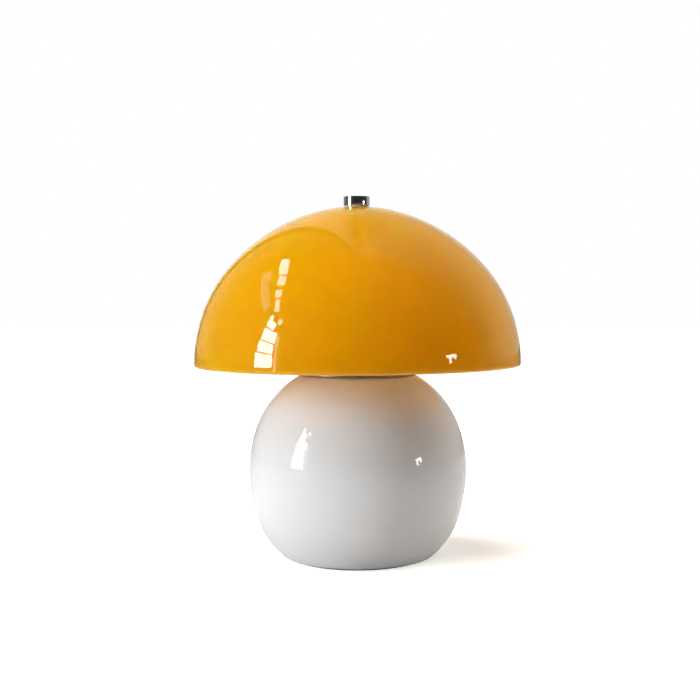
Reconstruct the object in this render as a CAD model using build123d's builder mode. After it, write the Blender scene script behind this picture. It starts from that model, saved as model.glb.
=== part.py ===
from build123d import *
import os
from math import acos, asin, cos, degrees, radians, sin, sqrt

# Mushroom table lamp: a cased glass dome carried over an opal glass globe.
# Millimetres, +Z up. The origin is on the table, under the middle of the foot.

os.makedirs("parts", exist_ok=True)

# Globe, drawn as tangent arcs above and below its widest circle
globe_r = 83.5
globe_wall = 3.2
shoulder_arc = 92.8  # radius, from the widest circle up
shoulder_turn = 23.1  # degrees
neck_arc = 73.1  # radius, from the shoulder to the neck
flank_arc = 126.2  # radius, from the widest circle down
flank_turn = 17.2  # degrees
foot_arc = 62.5  # radius, from the flank to the foot
neck_r = 41.3  # outer edge of the ground top
foot_r = 55.2  # where the foot arc meets the foot plane
foot_round = 12.0
foot_ring = 14.2  # width of the ring that the globe stands on
foot_wall = 4.0
kick_slope = 4.0  # how far the pushed-up floor leans in
kick_seat = 9.0  # glass left around the hole in that floor
neck_bevel = 0.4

# Foot pad and the plate that closes the globe
pad_t = 1.5
pad_inset = 6.7
plate_t = 1.5
plate_air = 1.5
plate_gasket_t = 1.0
plate_gasket_w = 6.0
base_air = 1.2  # between the tube's end and the pad

# Threaded tube, M10 x 1, and what screws on it
tube_r = 5.0
tube_bore_r = 3.9
tube_tail = 0.6
tube_chamfer = 0.4
thread_air = 0.05
nut_t = 3.0
nut_flats = 14.0
washer_r = 10.0
washer_t = 1.2
slot_w = 6.0
slot_h = 16.0
slot_z = 45.0

# Cord inlet in the back of the globe
cord_r = 3.0
cord_air = 0.1
inlet_drop = 26.0  # degrees below level, on the foot arc
inlet_hole_r = 6.1
inlet_flange_r = 8.8
inlet_lip = 1.8

# Terminal block and the inner wires
block_w = 16.0
block_d = 18.0
block_h = 14.0
block_gap = 3.0
block_corner = 1.5
pole_pitch = 8.0
pole_h = 8.0
pole_r = 1.85
pole_bore_r = 1.3
pole_sunk = 0.5  # end of each brass pole inside the block
pinch_r = 1.2
pinch_y = 5.5
pinch_sunk = 1.0
block_screw_r = 1.5
block_screw_head_r = 2.8
block_screw_head_t = 1.6
wire_r = 1.1
wire_pair = 2.6  # centre to centre in the tube
wire_held = 1.0  # past the middle of the pinch screw
wire_fronts = (24.0, 28.0)  # how far in front of the axis each wire rises
wire_slot_low = 9.0  # corner of the route under the middle of the slot
wire_slot_high = 1.0
wire_part = 7.5  # where the two wires part, under the lugs
wire_straight = 3.5
wire_bends = [8.0, 9.0, 9.0, 5.0, 5.0]

# Neck cap, clamped on the ground edge
cap_gasket_t = 1.2
cap_sheet = 1.2
cap_brim = 3.7  # beyond the ground edge
cap_round = 2.2
cap_air = 0.35  # between the brim and the glass

# Lampholder, E14, held in the cap by two rings on its outer thread
holder_r = 13.9
holder_wall = 1.8
holder_rise = 19.6  # mouth above the cap
skirt_h = 34.5
skirt_lip = 5.8
mouth_r = 10.8
dome_h = 24.0
dome_neck_r = 8.2
dome_neck_h = 10.3
tube_grip = 9.0
spigot_h = 3.5
web_t = 3.0
pocket_r = 7.95
ring_r = 19.0
ring_t = 4.0
ring_notches = 12
notch_r = 1.4
notch_out = 0.4  # middle of a notch outside the ring's edge

# Contacts and the lugs that the wires end in
lug_x = 5.5
lug_w = 5.0
lug_h = 7.0
lug_drop = 2.0  # under the insert
lug_screw_r = 1.25
contact_t = 0.6
leg_w = 4.4
tongue_past = 2.0  # tongue beyond the axis
sleeve_h = 16.5
sleeve_rise = 2.0  # top of the leg over the tongue
sleeve_lap = 0.5
sleeve_air = 0.1

# Bulb, E14, with a 45 mm envelope
cap_thread_r = 6.95
cap_thread_pitch = 2.82
cap_thread_turns = 5
cap_thread_start = 0.6  # turns above the cap's lower edge
cap_h = 17.0
bulb_r = 22.5
bulb_h = 78.0
bulb_wall = 1.0
collar_r = 19.34
collar_foot_r = 7.6
collar_waist_r = 9.2
collar_wall = 1.4
collar_waist_up = 1.0  # waist above the lampholder's mouth
plug_h = 4.25  # collar's foot inside the cap
insulator_h = 2.0
tip_h = 1.0
tip_r = 2.4

# Hoop that goes round the bulb and carries the shade
hoop_w = 12.0
hoop_t = 1.5
hoop_reach = 7.6  # leg beyond the foot screw
hoop_toe = 5.0
hoop_bend = 3.5
hoop_shoulder = 20.0
foot_screw_r = 1.95
foot_screw_head_r = 3.8
foot_screw_head_t = 2.4
cross_l = 3.8
cross_w = 0.76
cross_deep = 1.2
foot_nut_t = 3.2
foot_nut_flats = 7.0
screw_air = 0.15

# Stud, M6 x 1, its nuts and the seat of the shade
stud_r = 3.0
stud_nut_t = 3.2
stud_nut_flats = 10.0
stud_tail = 0.7
stud_grip = 5.7  # inside the finial
stud_chamfer = 0.5
seat_washer_r = 11.5
seat_washer_t = 1.2
seat_ring_r = 10.5
seat_ring_t = 2.5

# Shade, drawn as three tangent arcs, the top one centred on the axis
shade_r = 125.0
shade_wall = 3.2
brow_arc = 111.8  # radius, from the widest circle up
brow_turn = 40.8  # degrees from level where it ends
crown_arc = 119.9
crown_turn = 74.2  # degrees from level where it starts
rim_over_neck = 5.85
rim_belly = 2.6  # widest circle above the rim
rim_round_out = 2.0
rim_round_in = 1.1
land_out_r = 11.0  # ground flat under the finial
land_in_r = 11.5
shade_hole_r = 5.5
bush_wall = 1.9

# Finial
finial_r = 10.0
finial_h = 7.2
finial_cover = 1.0  # metal over the end of its thread
finial_chamfer = 0.35
finial_washer_r = 9.0
finial_washer_t = 0.8

# Heights and centres that follow from the sizes above
kick_h = plate_gasket_t + plate_t + washer_t + nut_t + tube_tail + base_air
kick_z = pad_t + kick_h
kick_out_r = foot_r - foot_ring
kick_r = kick_out_r - kick_slope
kick_hole_r = kick_r - kick_seat
trough_z = pad_t + foot_wall
flank_c = globe_r - flank_arc
foot_cx = flank_c + (flank_arc - foot_arc) * cos(radians(flank_turn))
foot_cz = pad_t + sqrt(foot_arc**2 - (foot_r - foot_cx) ** 2)
globe_z = foot_cz + (flank_arc - foot_arc) * sin(radians(flank_turn))
shoulder_c = globe_r - shoulder_arc
neck_cx = shoulder_c + (shoulder_arc - neck_arc) * cos(radians(shoulder_turn))
neck_cz = globe_z + (shoulder_arc - neck_arc) * sin(radians(shoulder_turn))
neck_z = neck_cz + sqrt(neck_arc**2 - (neck_r - neck_cx) ** 2)
neck_in_arc = neck_arc - globe_wall
neck_in_r = neck_cx + sqrt(neck_in_arc**2 - (neck_z - neck_cz) ** 2)
foot_in_arc = foot_arc - globe_wall

plate_top = kick_z - plate_gasket_t
plate_r = kick_r - plate_air
washer_z = plate_top - plate_t - washer_t
base_nut_z = washer_z - nut_t
tube_z = base_nut_z - tube_tail

cap_under = neck_z + cap_gasket_t
cap_top = cap_under + cap_sheet
cap_r = neck_r + cap_brim
cap_in_r = cap_r - cap_sheet
brim_z = neck_cz + sqrt(neck_arc**2 - (cap_in_r - neck_cx) ** 2) + cap_air

holder_mouth = cap_top + holder_rise
skirt_z = holder_mouth - skirt_h
skirt_in_r = holder_r - holder_wall
insert_top = holder_mouth - skirt_lip - thread_air
insert_z = skirt_z + spigot_h
insert_r = skirt_in_r - thread_air
dome_z = skirt_z - dome_h
tube_top = dome_z + tube_grip
pocket_z = insert_z + web_t
lug_z = insert_z - lug_drop - lug_h

tongue_top = pocket_z + 2 * contact_t
tip_z = tongue_top + thread_air
cap_shell_z = tip_z + tip_h + insulator_h
collar_z = cap_shell_z + cap_h
ball_z = tip_z + bulb_h - bulb_r
collar_top = ball_z - sqrt(bulb_r**2 - collar_r**2)
sleeve_in_r = cap_thread_r + sleeve_air
sleeve_r = sleeve_in_r + contact_t

shade_foot_z = neck_z + rim_over_neck
belly_z = shade_foot_z + rim_belly
brow_c = shade_r - brow_arc
brow_cos = cos(radians(brow_turn))
crown_cos = cos(radians(crown_turn))
temple_arc = (brow_c + brow_arc * brow_cos - crown_arc * crown_cos) / (brow_cos - crown_cos)
temple_cx = brow_c + (brow_arc - temple_arc) * brow_cos
temple_cz = belly_z + (brow_arc - temple_arc) * sin(radians(brow_turn))
crown_cz = temple_cz + (temple_arc - crown_arc) * sin(radians(crown_turn))
crown_in_arc = crown_arc - shade_wall
land_out_z = crown_cz + sqrt(crown_arc**2 - land_out_r**2)
land_in_z = crown_cz + sqrt(crown_in_arc**2 - land_in_r**2)

hoop_top = land_in_z - seat_ring_t - seat_washer_t - stud_nut_t
foot_screw_x = (neck_in_r + ring_r) / 2
hoop_x = foot_screw_x + hoop_reach
stud_z = hoop_top - hoop_t - stud_nut_t - stud_tail
finial_z = land_out_z + finial_washer_t
stud_top = finial_z + stud_grip


def hex_nut(z, flats, height, bore_r, spots=((0, 0),)):
    with BuildPart() as nut:
        with BuildSketch(Plane.XY.offset(z)):
            with Locations(*spots):
                RegularPolygon(flats / 2, 6, major_radius=False)
                Circle(bore_r, mode=Mode.SUBTRACT)
        extrude(amount=height)
    return nut.part


def ring(z, outer_r, inner_r, height):
    with BuildPart() as disc:
        with BuildSketch(Plane.XY.offset(z)):
            Circle(outer_r)
            Circle(inner_r, mode=Mode.SUBTRACT)
        extrude(amount=height)
    return disc.part


# Foot pad: a full disc of foam rubber, so that the plate and nut under the globe are covered
with BuildPart() as foot_pad:
    with BuildSketch():
        Circle(foot_r - pad_inset)
    extrude(amount=pad_t)
foot_pad.part.label = "foot_pad"
export_step(foot_pad.part, "parts/foot_pad.step")

# Globe: one even wall of blown opal glass, pushed up underneath and ground flat on top
inlet_plane = Plane(
    origin=(
        0,
        foot_cx + foot_arc * cos(radians(inlet_drop)),
        foot_cz - foot_arc * sin(radians(inlet_drop)),
    ),
    x_dir=(1, 0, 0),
    z_dir=(0, cos(radians(inlet_drop)), -sin(radians(inlet_drop))),
)
neck_end = degrees(asin((neck_z - neck_cz) / neck_arc))
neck_in_end = degrees(asin((neck_z - neck_cz) / neck_in_arc))
foot_end = degrees(asin((foot_cz - pad_t) / foot_arc))
foot_in_end = degrees(asin((foot_cz - trough_z) / foot_in_arc))
with BuildPart() as base_globe:
    with BuildSketch(Plane.XZ) as globe_profile:
        with BuildLine():
            for wall, top, low in ((0, neck_end, foot_end), (globe_wall, neck_in_end, foot_in_end)):
                CenterArc((neck_cx, neck_cz), neck_arc - wall, shoulder_turn, top - shoulder_turn)
                CenterArc((shoulder_c, globe_z), shoulder_arc - wall, 0, shoulder_turn)
                CenterArc((flank_c, globe_z), flank_arc - wall, -flank_turn, flank_turn)
                CenterArc((foot_cx, foot_cz), foot_arc - wall, -low, low - flank_turn)
            Line((neck_r, neck_z), (neck_in_r, neck_z))
            Polyline(
                (foot_r, pad_t),
                (kick_out_r, pad_t),
                (kick_r, kick_z),
                (kick_hole_r, kick_z),
                (kick_hole_r, kick_z + globe_wall),
                (kick_r + foot_wall, kick_z + globe_wall),
                (kick_out_r + foot_wall, trough_z),
                (foot_cx + sqrt(foot_in_arc**2 - (foot_cz - trough_z) ** 2), trough_z),
            )
        make_face()
        corners = globe_profile.vertices()
        fillet(corners.sort_by_distance((foot_r, pad_t))[0], foot_round)
        fillet(corners.sort_by_distance((kick_out_r, pad_t))[0], globe_wall / 2)
        fillet(corners.sort_by_distance((kick_out_r + foot_wall, trough_z))[0], globe_wall)
        chamfer(corners.sort_by_distance((neck_r, neck_z))[0], neck_bevel)
    revolve(axis=Axis.Z)
    with BuildSketch(inlet_plane):
        Circle(inlet_hole_r)
    extrude(amount=2 * globe_wall, both=True, mode=Mode.SUBTRACT)
base_globe.part.label = "base_globe"
export_step(base_globe.part, "parts/base_globe.step")

# Cord grommet: rubber, with a lip on each side that the curved glass shapes
with BuildPart() as cord_grommet:
    with BuildSketch(inlet_plane.offset(-globe_wall - inlet_lip)):
        Circle(inlet_flange_r)
    extrude(amount=globe_wall + 2 * inlet_lip)
    lip_edges = cord_grommet.edges()
    fillet(lip_edges, inlet_lip / 3)
    add(base_globe.part, mode=Mode.SUBTRACT)
    with BuildSketch(inlet_plane.offset(-globe_wall - inlet_lip)):
        Circle(cord_r + cord_air)
    extrude(amount=globe_wall + 2 * inlet_lip, mode=Mode.SUBTRACT)
cord_grommet.part.label = "cord_grommet"
export_step(cord_grommet.part, "parts/cord_grommet.step")

# Closing plate with its gasket, washer and nut, all inside the pushed-up floor
with BuildPart() as plate_gasket:
    add(ring(plate_top, plate_r, plate_r - plate_gasket_w, plate_gasket_t))
plate_gasket.part.label = "plate_gasket"
export_step(plate_gasket.part, "parts/plate_gasket.step")

block_x = -(tube_r + block_gap + block_w / 2)
with BuildPart() as base_plate:
    with BuildSketch(Plane.XY.offset(plate_top - plate_t)):
        Circle(plate_r)
        Circle(tube_r + screw_air, mode=Mode.SUBTRACT)
        with Locations((block_x, 0)):
            Circle(block_screw_r + thread_air, mode=Mode.SUBTRACT)
    extrude(amount=plate_t)
base_plate.part.label = "base_plate"
export_step(base_plate.part, "parts/base_plate.step")

with BuildPart() as base_washer:
    add(ring(washer_z, washer_r, tube_r + screw_air, washer_t))
base_washer.part.label = "base_washer"
export_step(base_washer.part, "parts/base_washer.step")

with BuildPart() as base_nut:
    add(hex_nut(base_nut_z, nut_flats, nut_t, tube_r + thread_air))
base_nut.part.label = "base_nut"
export_step(base_nut.part, "parts/base_nut.step")

# Threaded tube from the base nut to the lampholder, with a slot where the wires go in
with BuildPart() as threaded_tube:
    add(ring(tube_z, tube_r, tube_bore_r, tube_top - tube_z))
    with BuildSketch(Plane.XZ):
        with Locations((0, slot_z)):
            SlotOverall(slot_h, slot_w, rotation=90)
    extrude(amount=2 * tube_r, mode=Mode.SUBTRACT)
    tube_rims = threaded_tube.edges().filter_by(GeomType.CIRCLE).group_by(Axis.Z)
    for tube_end in (tube_rims[0], tube_rims[-1]):
        chamfer(tube_end.sort_by(SortBy.RADIUS)[-1], tube_chamfer)
threaded_tube.part.label = "threaded_tube"
export_step(threaded_tube.part, "parts/threaded_tube.step")

# Terminal block: two brass poles along Y, pinched from above, and one fixing screw
pole_z = plate_top + pole_h
pole_xs = (block_x + pole_pitch / 2, block_x - pole_pitch / 2)
block_top = plate_top + block_h
pinch_low = pole_z + wire_r
with BuildPart() as terminal_block:
    with BuildSketch(Plane.XY.offset(plate_top)):
        with Locations((block_x, 0)):
            RectangleRounded(block_w, block_d, block_corner)
            Circle(block_screw_r + screw_air, mode=Mode.SUBTRACT)
    extrude(amount=block_h)
    with BuildSketch(Plane.XZ):
        with Locations(*[(x, pole_z) for x in pole_xs]):
            Circle(pole_r)
    extrude(amount=block_d, both=True, mode=Mode.SUBTRACT)
    with BuildSketch(Plane.XY.offset(block_top)):
        with Locations(*[(x, y) for x in pole_xs for y in (-pinch_y, pinch_y)]):
            Circle(pinch_r + screw_air)
    extrude(amount=pole_z - block_top, mode=Mode.SUBTRACT)
    with BuildSketch(Plane.XY.offset(block_top)):
        with Locations((block_x, 0)):
            Circle(block_screw_head_r + screw_air)
    extrude(amount=-block_screw_head_t, mode=Mode.SUBTRACT)
terminal_block.part.label = "terminal_block"
export_step(terminal_block.part, "parts/terminal_block.step")

with BuildPart() as terminal_inserts:
    with BuildSketch(Plane.XZ):
        with Locations(*[(x, pole_z) for x in pole_xs]):
            Circle(pole_r - thread_air)
            Circle(pole_bore_r, mode=Mode.SUBTRACT)
    extrude(amount=block_d / 2 - pole_sunk, both=True)
    with BuildSketch(Plane.XY.offset(pole_z)):
        with Locations(*[(x, y) for x in pole_xs for y in (-pinch_y, pinch_y)]):
            Circle(pinch_r + thread_air)
    extrude(amount=2 * pole_r, mode=Mode.SUBTRACT)
terminal_inserts.part.label = "terminal_inserts"
export_step(terminal_inserts.part, "parts/terminal_inserts.step")

with BuildPart() as terminal_screws:
    with BuildSketch(Plane.XY.offset(pinch_low)):
        with Locations(*[(x, y) for x in pole_xs for y in (-pinch_y, pinch_y)]):
            Circle(pinch_r)
    extrude(amount=block_top - pinch_low - pinch_sunk)
terminal_screws.part.label = "terminal_screws"
export_step(terminal_screws.part, "parts/terminal_screws.step")

with BuildPart() as block_screw:
    with BuildSketch(Plane.XY.offset(plate_top - plate_t)):
        with Locations((block_x, 0)):
            Circle(block_screw_r)
    extrude(amount=plate_t + block_h - block_screw_head_t)
    with BuildSketch(Plane.XY.offset(block_top - block_screw_head_t)):
        with Locations((block_x, 0)):
            Circle(block_screw_head_r)
    extrude(amount=block_screw_head_t)
block_screw.part.label = "block_screw"
export_step(block_screw.part, "parts/block_screw.step")


# Inner wires: from the poles, round in front of the block, and up the tube to the lugs
def wire_route(pole_x, side, front):
    in_tube = side * wire_pair / 2
    lug_foot = lug_z + wire_r
    return [
        (pole_x, -pinch_y + wire_held, pole_z),
        (pole_x, -front, pole_z),
        (in_tube, -front, slot_z - wire_slot_low),
        (in_tube, 0, slot_z + wire_slot_high),
        (in_tube, 0, lug_foot - wire_part),
        (side * lug_x, 0, lug_foot - wire_straight),
        (side * lug_x, 0, lug_z + lug_h / 2 - screw_air),
    ]


for wire_name, pole_x, side, front in (
    ("wire_live", pole_xs[0], -1, wire_fronts[0]),
    ("wire_neutral", pole_xs[1], 1, wire_fronts[1]),
):
    with BuildPart() as wire:
        with BuildLine() as wire_line:
            FilletPolyline(wire_route(pole_x, side, front), radius=wire_bends)
        with BuildSketch(Plane(origin=wire_line.line @ 0, z_dir=wire_line.line % 0)):
            Circle(wire_r)
        sweep()
    wire.part.label = wire_name
    export_step(wire.part, f"parts/{wire_name}.step")
    print(wire_name, "length", round(sum(edge.length for edge in wire_line.edges()), 1))

# Gasket and neck cap on the ground edge of the globe
with BuildPart() as cap_gasket:
    add(ring(neck_z, neck_r - globe_wall / 4, neck_in_r + globe_wall / 4, cap_gasket_t))
cap_gasket.part.label = "cap_gasket"
export_step(cap_gasket.part, "parts/cap_gasket.step")

foot_spots = [(foot_screw_x, 0), (-foot_screw_x, 0)]
with BuildPart() as neck_cap:
    with BuildSketch(Plane.XZ) as cap_profile:
        with BuildLine():
            Polyline(
                (holder_r + screw_air, cap_top),
                (cap_r, cap_top),
                (cap_r, brim_z),
                (cap_in_r, brim_z),
                (cap_in_r, cap_under),
                (holder_r + screw_air, cap_under),
                close=True,
            )
        make_face()
        cap_corners = cap_profile.vertices()
        fillet(cap_corners.sort_by_distance((cap_r, cap_top))[0], cap_round)
        fillet(cap_corners.sort_by_distance((cap_in_r, cap_under))[0], cap_round - cap_sheet)
    revolve(axis=Axis.Z)
    with Locations(*[(x, y, cap_top) for x, y in foot_spots]):
        Hole(foot_screw_r + screw_air, cap_sheet * 2)
neck_cap.part.label = "neck_cap"
export_step(neck_cap.part, "parts/neck_cap.step")

# Two notched rings clamp the lampholder in the cap
with BuildPart() as ring_nuts:
    for ring_z in (cap_top, cap_under - ring_t):
        add(ring(ring_z, ring_r, holder_r + thread_air, ring_t))
        with BuildSketch(Plane.XY.offset(ring_z)):
            with PolarLocations(ring_r + notch_out, ring_notches):
                Circle(notch_r)
        extrude(amount=ring_t, mode=Mode.SUBTRACT)
ring_nuts.part.label = "ring_nuts"
export_step(ring_nuts.part, "parts/ring_nuts.step")

# Lampholder: dome on the tube, insert with the contacts, threaded skirt over both
dome_in_r = insert_r - holder_wall
with BuildPart() as holder_dome:
    with BuildSketch(Plane.XZ):
        with BuildLine():
            Polyline(
                (tube_r + thread_air, dome_z),
                (dome_neck_r, dome_z),
                (dome_neck_r, dome_z + dome_neck_h),
                (holder_r, dome_z + dome_neck_h + (holder_r - dome_neck_r)),
                (holder_r, skirt_z - thread_air),
                (insert_r, skirt_z - thread_air),
                (insert_r, insert_z - thread_air),
                (dome_in_r, insert_z - thread_air),
                (dome_in_r, dome_z + dome_neck_h + dome_in_r - tube_bore_r),
                (tube_bore_r, dome_z + dome_neck_h),
                (tube_bore_r, tube_top + thread_air),
                (tube_r + thread_air, tube_top + thread_air),
                close=True,
            )
        make_face()
    revolve(axis=Axis.Z)
holder_dome.part.label = "holder_dome"
export_step(holder_dome.part, "parts/holder_dome.step")

shell_leg_x = -(sleeve_in_r + contact_t / 2)
with BuildPart() as holder_insert:
    add(ring(insert_z, insert_r, pocket_r, insert_top - insert_z))
    with BuildSketch(Plane.XY.offset(insert_z)):
        Circle(pocket_r)
        with Locations((shell_leg_x, 0), (lug_x, 0)):
            Rectangle(2 * contact_t, lug_w, mode=Mode.SUBTRACT)
    extrude(amount=web_t)
    insert_rims = holder_insert.edges().filter_by(GeomType.CIRCLE).group_by(Axis.Z)[-1]
    chamfer(insert_rims.sort_by(SortBy.RADIUS)[0], contact_t)
holder_insert.part.label = "holder_insert"
export_step(holder_insert.part, "parts/holder_insert.step")

# Each contact is bent strip that ends in a lug under the insert
for contact_name, leg_x, lug_side in (("centre_contact", lug_x, 1), ("shell_contact", shell_leg_x, -1)):
    with BuildPart() as contact:
        with BuildSketch(Plane.XY.offset(lug_z)):
            with Locations((lug_side * lug_x, 0)):
                Rectangle(lug_w, lug_w)
                Circle(wire_r + thread_air, mode=Mode.SUBTRACT)
        extrude(amount=lug_h)
        with BuildSketch(Plane.XY.offset(lug_z + lug_h / 2)):
            with Locations((lug_side * lug_x, 0)):
                Rectangle(lug_w, lug_w)
        extrude(amount=lug_h / 2)
        with BuildSketch(Plane.YZ.offset(lug_side * (lug_x + lug_w / 2))):
            with Locations((0, lug_z + lug_h / 4)):
                Circle(lug_screw_r + thread_air)
        extrude(amount=-lug_side * lug_w / 2, mode=Mode.SUBTRACT)
        leg_top = pocket_z + contact_t if lug_side > 0 else pocket_z + 3 * contact_t + sleeve_rise
        with BuildSketch(Plane.XY.offset(lug_z + lug_h)):
            with Locations((leg_x, 0)):
                Rectangle(contact_t, leg_w)
        extrude(amount=leg_top - lug_z - lug_h)
        if lug_side > 0:
            with BuildSketch(Plane.XY.offset(pocket_z)):
                with Locations(((leg_x - tongue_past) / 2, 0)):
                    Rectangle(leg_x + tongue_past + contact_t, leg_w)
            extrude(amount=contact_t)
            with BuildSketch(Plane.XY.offset(pocket_z + contact_t)):
                Circle(tip_r / 2)
            extrude(amount=contact_t)
        else:
            add(ring(leg_top - sleeve_lap, sleeve_r, sleeve_in_r, sleeve_h))
    contact.part.label = contact_name
    export_step(contact.part, f"parts/{contact_name}.step")

with BuildPart() as lug_screws:
    for lug_side in (-1, 1):
        with BuildSketch(Plane.YZ.offset(lug_side * (lug_x + wire_r))):
            with Locations((0, lug_z + lug_h / 4)):
                Circle(lug_screw_r)
        extrude(amount=lug_side * lug_w / 2)
lug_screws.part.label = "lug_screws"
export_step(lug_screws.part, "parts/lug_screws.step")

with BuildPart() as holder_skirt:
    with BuildSketch(Plane.XZ) as skirt_profile:
        with BuildLine():
            Polyline(
                (skirt_in_r, skirt_z),
                (holder_r, skirt_z),
                (holder_r, holder_mouth),
                (mouth_r, holder_mouth),
                (mouth_r, holder_mouth - skirt_lip),
                (skirt_in_r, holder_mouth - skirt_lip),
                close=True,
            )
        make_face()
        skirt_corners = skirt_profile.vertices()
        for mouth_edge_r in (holder_r, mouth_r):
            fillet(skirt_corners.sort_by_distance((mouth_edge_r, holder_mouth))[0], holder_wall / 2)
    revolve(axis=Axis.Z)
holder_skirt.part.label = "holder_skirt"
export_step(holder_skirt.part, "parts/holder_skirt.step")

# Bulb: contact tip, glass insulator, screw cap, collar and envelope
with BuildPart() as bulb_contact:
    with BuildSketch(Plane.XY.offset(tip_z)):
        Circle(tip_r)
    extrude(amount=tip_h)
    fillet(bulb_contact.edges().group_by(Axis.Z)[0], tip_h / 2)
bulb_contact.part.label = "bulb_contact"
export_step(bulb_contact.part, "parts/bulb_contact.step")

cap_shell_r = cap_thread_r - contact_t
with BuildPart() as bulb_insulator:
    with BuildSketch(Plane.XZ):
        with BuildLine():
            Polyline(
                (0, tip_z + tip_h),
                (tip_r, tip_z + tip_h),
                (cap_shell_r - contact_t, cap_shell_z),
                (0, cap_shell_z),
                close=True,
            )
        make_face()
    revolve(axis=Axis.Z)
bulb_insulator.part.label = "bulb_insulator"
export_step(bulb_insulator.part, "parts/bulb_insulator.step")

with BuildPart() as bulb_cap:
    with BuildSketch(Plane.XZ):
        with Locations((cap_shell_r / 2, cap_shell_z + cap_h / 2)):
            Rectangle(cap_shell_r, cap_h)
        ridge_r = cap_thread_pitch / 4
        ridge_z = cap_shell_z + cap_thread_start * cap_thread_pitch
        for turn in range(cap_thread_turns):
            with Locations((cap_thread_r - ridge_r, ridge_z + turn * cap_thread_pitch)):
                Circle(ridge_r)
    revolve(axis=Axis.Z)
    with BuildSketch(Plane.XY.offset(cap_shell_z + contact_t)):
        Circle(cap_shell_r - contact_t)
    extrude(amount=cap_h, mode=Mode.SUBTRACT)
bulb_cap.part.label = "bulb_cap"
export_step(bulb_cap.part, "parts/bulb_cap.step")

with BuildPart() as bulb_collar:
    with BuildSketch(Plane.XZ):
        with BuildLine():
            for inset in (0, collar_wall):
                Spline(
                    (collar_foot_r - inset, collar_z),
                    (collar_waist_r - inset, holder_mouth + collar_waist_up),
                    (collar_r - inset, collar_top),
                    tangents=((0, 1), (collar_r - collar_waist_r, collar_top - holder_mouth)),
                )
            Line((collar_foot_r, collar_z), (collar_foot_r - collar_wall, collar_z))
            Line((collar_r, collar_top), (collar_r - collar_wall, collar_top))
        make_face()
    revolve(axis=Axis.Z)
    plug_r = cap_shell_r - contact_t - thread_air
    add(ring(collar_z, collar_foot_r - collar_wall / 2, plug_r - collar_wall, collar_wall))
    add(ring(collar_z - plug_h, plug_r, plug_r - collar_wall, plug_h))
bulb_collar.part.label = "bulb_collar"
export_step(bulb_collar.part, "parts/bulb_collar.step")

ball_open = degrees(acos(collar_r / bulb_r))
ball_in_r = bulb_r - bulb_wall
ball_in_low = ball_z - ball_in_r * sin(radians(ball_open))
with BuildPart() as bulb_glass:
    with BuildSketch(Plane.XZ):
        with BuildLine():
            CenterArc((0, ball_z), bulb_r, -ball_open, 90 + ball_open)
            CenterArc((0, ball_z), ball_in_r, -ball_open, 90 + ball_open)
            Line((0, ball_z + bulb_r), (0, ball_z + ball_in_r))
            Line((collar_r, collar_top), (ball_in_r * cos(radians(ball_open)), ball_in_low))
        make_face()
    revolve(axis=Axis.Z)
bulb_glass.part.label = "bulb_glass"
export_step(bulb_glass.part, "parts/bulb_glass.step")

# Hoop: one strip bent round the bulb, its feet turned in on the neck cap
toe_x = foot_screw_x - hoop_toe
with BuildPart() as hoop_bracket:
    with BuildSketch(Plane.XZ):
        with BuildLine():
            FilletPolyline(
                (toe_x, cap_top),
                (hoop_x, cap_top),
                (hoop_x, hoop_top),
                (-hoop_x, hoop_top),
                (-hoop_x, cap_top),
                (-toe_x, cap_top),
                radius=[hoop_bend, hoop_shoulder, hoop_shoulder, hoop_bend],
            )
            offset(amount=hoop_t, side=Side.LEFT)
        make_face()
    extrude(amount=hoop_w / 2, both=True)
    with Locations(*[(x, y, cap_top + hoop_t) for x, y in foot_spots]):
        Hole(foot_screw_r + screw_air, 2 * hoop_t)
    with Locations((0, 0, hoop_top)):
        Hole(stud_r + screw_air, 2 * hoop_t)
hoop_bracket.part.label = "hoop_bracket"
export_step(hoop_bracket.part, "parts/hoop_bracket.step")

with BuildPart() as hoop_screws:
    with BuildSketch(Plane.XY.offset(cap_top + hoop_t)):
        with Locations(*foot_spots):
            Circle(foot_screw_r)
    extrude(amount=-hoop_t - cap_sheet - foot_nut_t - screw_air)
    with BuildSketch(Plane.XY.offset(cap_top + hoop_t)):
        with Locations(*foot_spots):
            Circle(foot_screw_head_r)
    extrude(amount=foot_screw_head_t)
    fillet(hoop_screws.edges().group_by(Axis.Z)[-1], foot_screw_head_t / 2)
    with BuildSketch(Plane.XY.offset(cap_top + hoop_t + foot_screw_head_t)):
        with Locations(*foot_spots):
            Rectangle(cross_l, cross_w)
            Rectangle(cross_w, cross_l)
    extrude(amount=-cross_deep, mode=Mode.SUBTRACT)
hoop_screws.part.label = "hoop_screws"
export_step(hoop_screws.part, "parts/hoop_screws.step")

with BuildPart() as hoop_nuts:
    foot_thread_r = foot_screw_r + thread_air
    add(hex_nut(cap_under - foot_nut_t, foot_nut_flats, foot_nut_t, foot_thread_r, foot_spots))
hoop_nuts.part.label = "hoop_nuts"
export_step(hoop_nuts.part, "parts/hoop_nuts.step")

# Stud through the hoop, a nut on each side of the strip, and the seat of the shade
with BuildPart() as shade_stud:
    with BuildSketch(Plane.XY.offset(stud_z)):
        Circle(stud_r)
    extrude(amount=stud_top - stud_z)
    stud_edges = shade_stud.edges().group_by(Axis.Z)
    chamfer(stud_edges[-1] + stud_edges[0], stud_chamfer)
shade_stud.part.label = "shade_stud"
export_step(shade_stud.part, "parts/shade_stud.step")

with BuildPart() as stud_nuts:
    for stud_nut_z in (hoop_top - hoop_t - stud_nut_t, hoop_top):
        add(hex_nut(stud_nut_z, stud_nut_flats, stud_nut_t, stud_r + thread_air))
stud_nuts.part.label = "stud_nuts"
export_step(stud_nuts.part, "parts/stud_nuts.step")

with BuildPart() as seat_washer:
    add(ring(hoop_top + stud_nut_t, seat_washer_r, stud_r + screw_air, seat_washer_t))
seat_washer.part.label = "seat_washer"
export_step(seat_washer.part, "parts/seat_washer.step")

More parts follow.
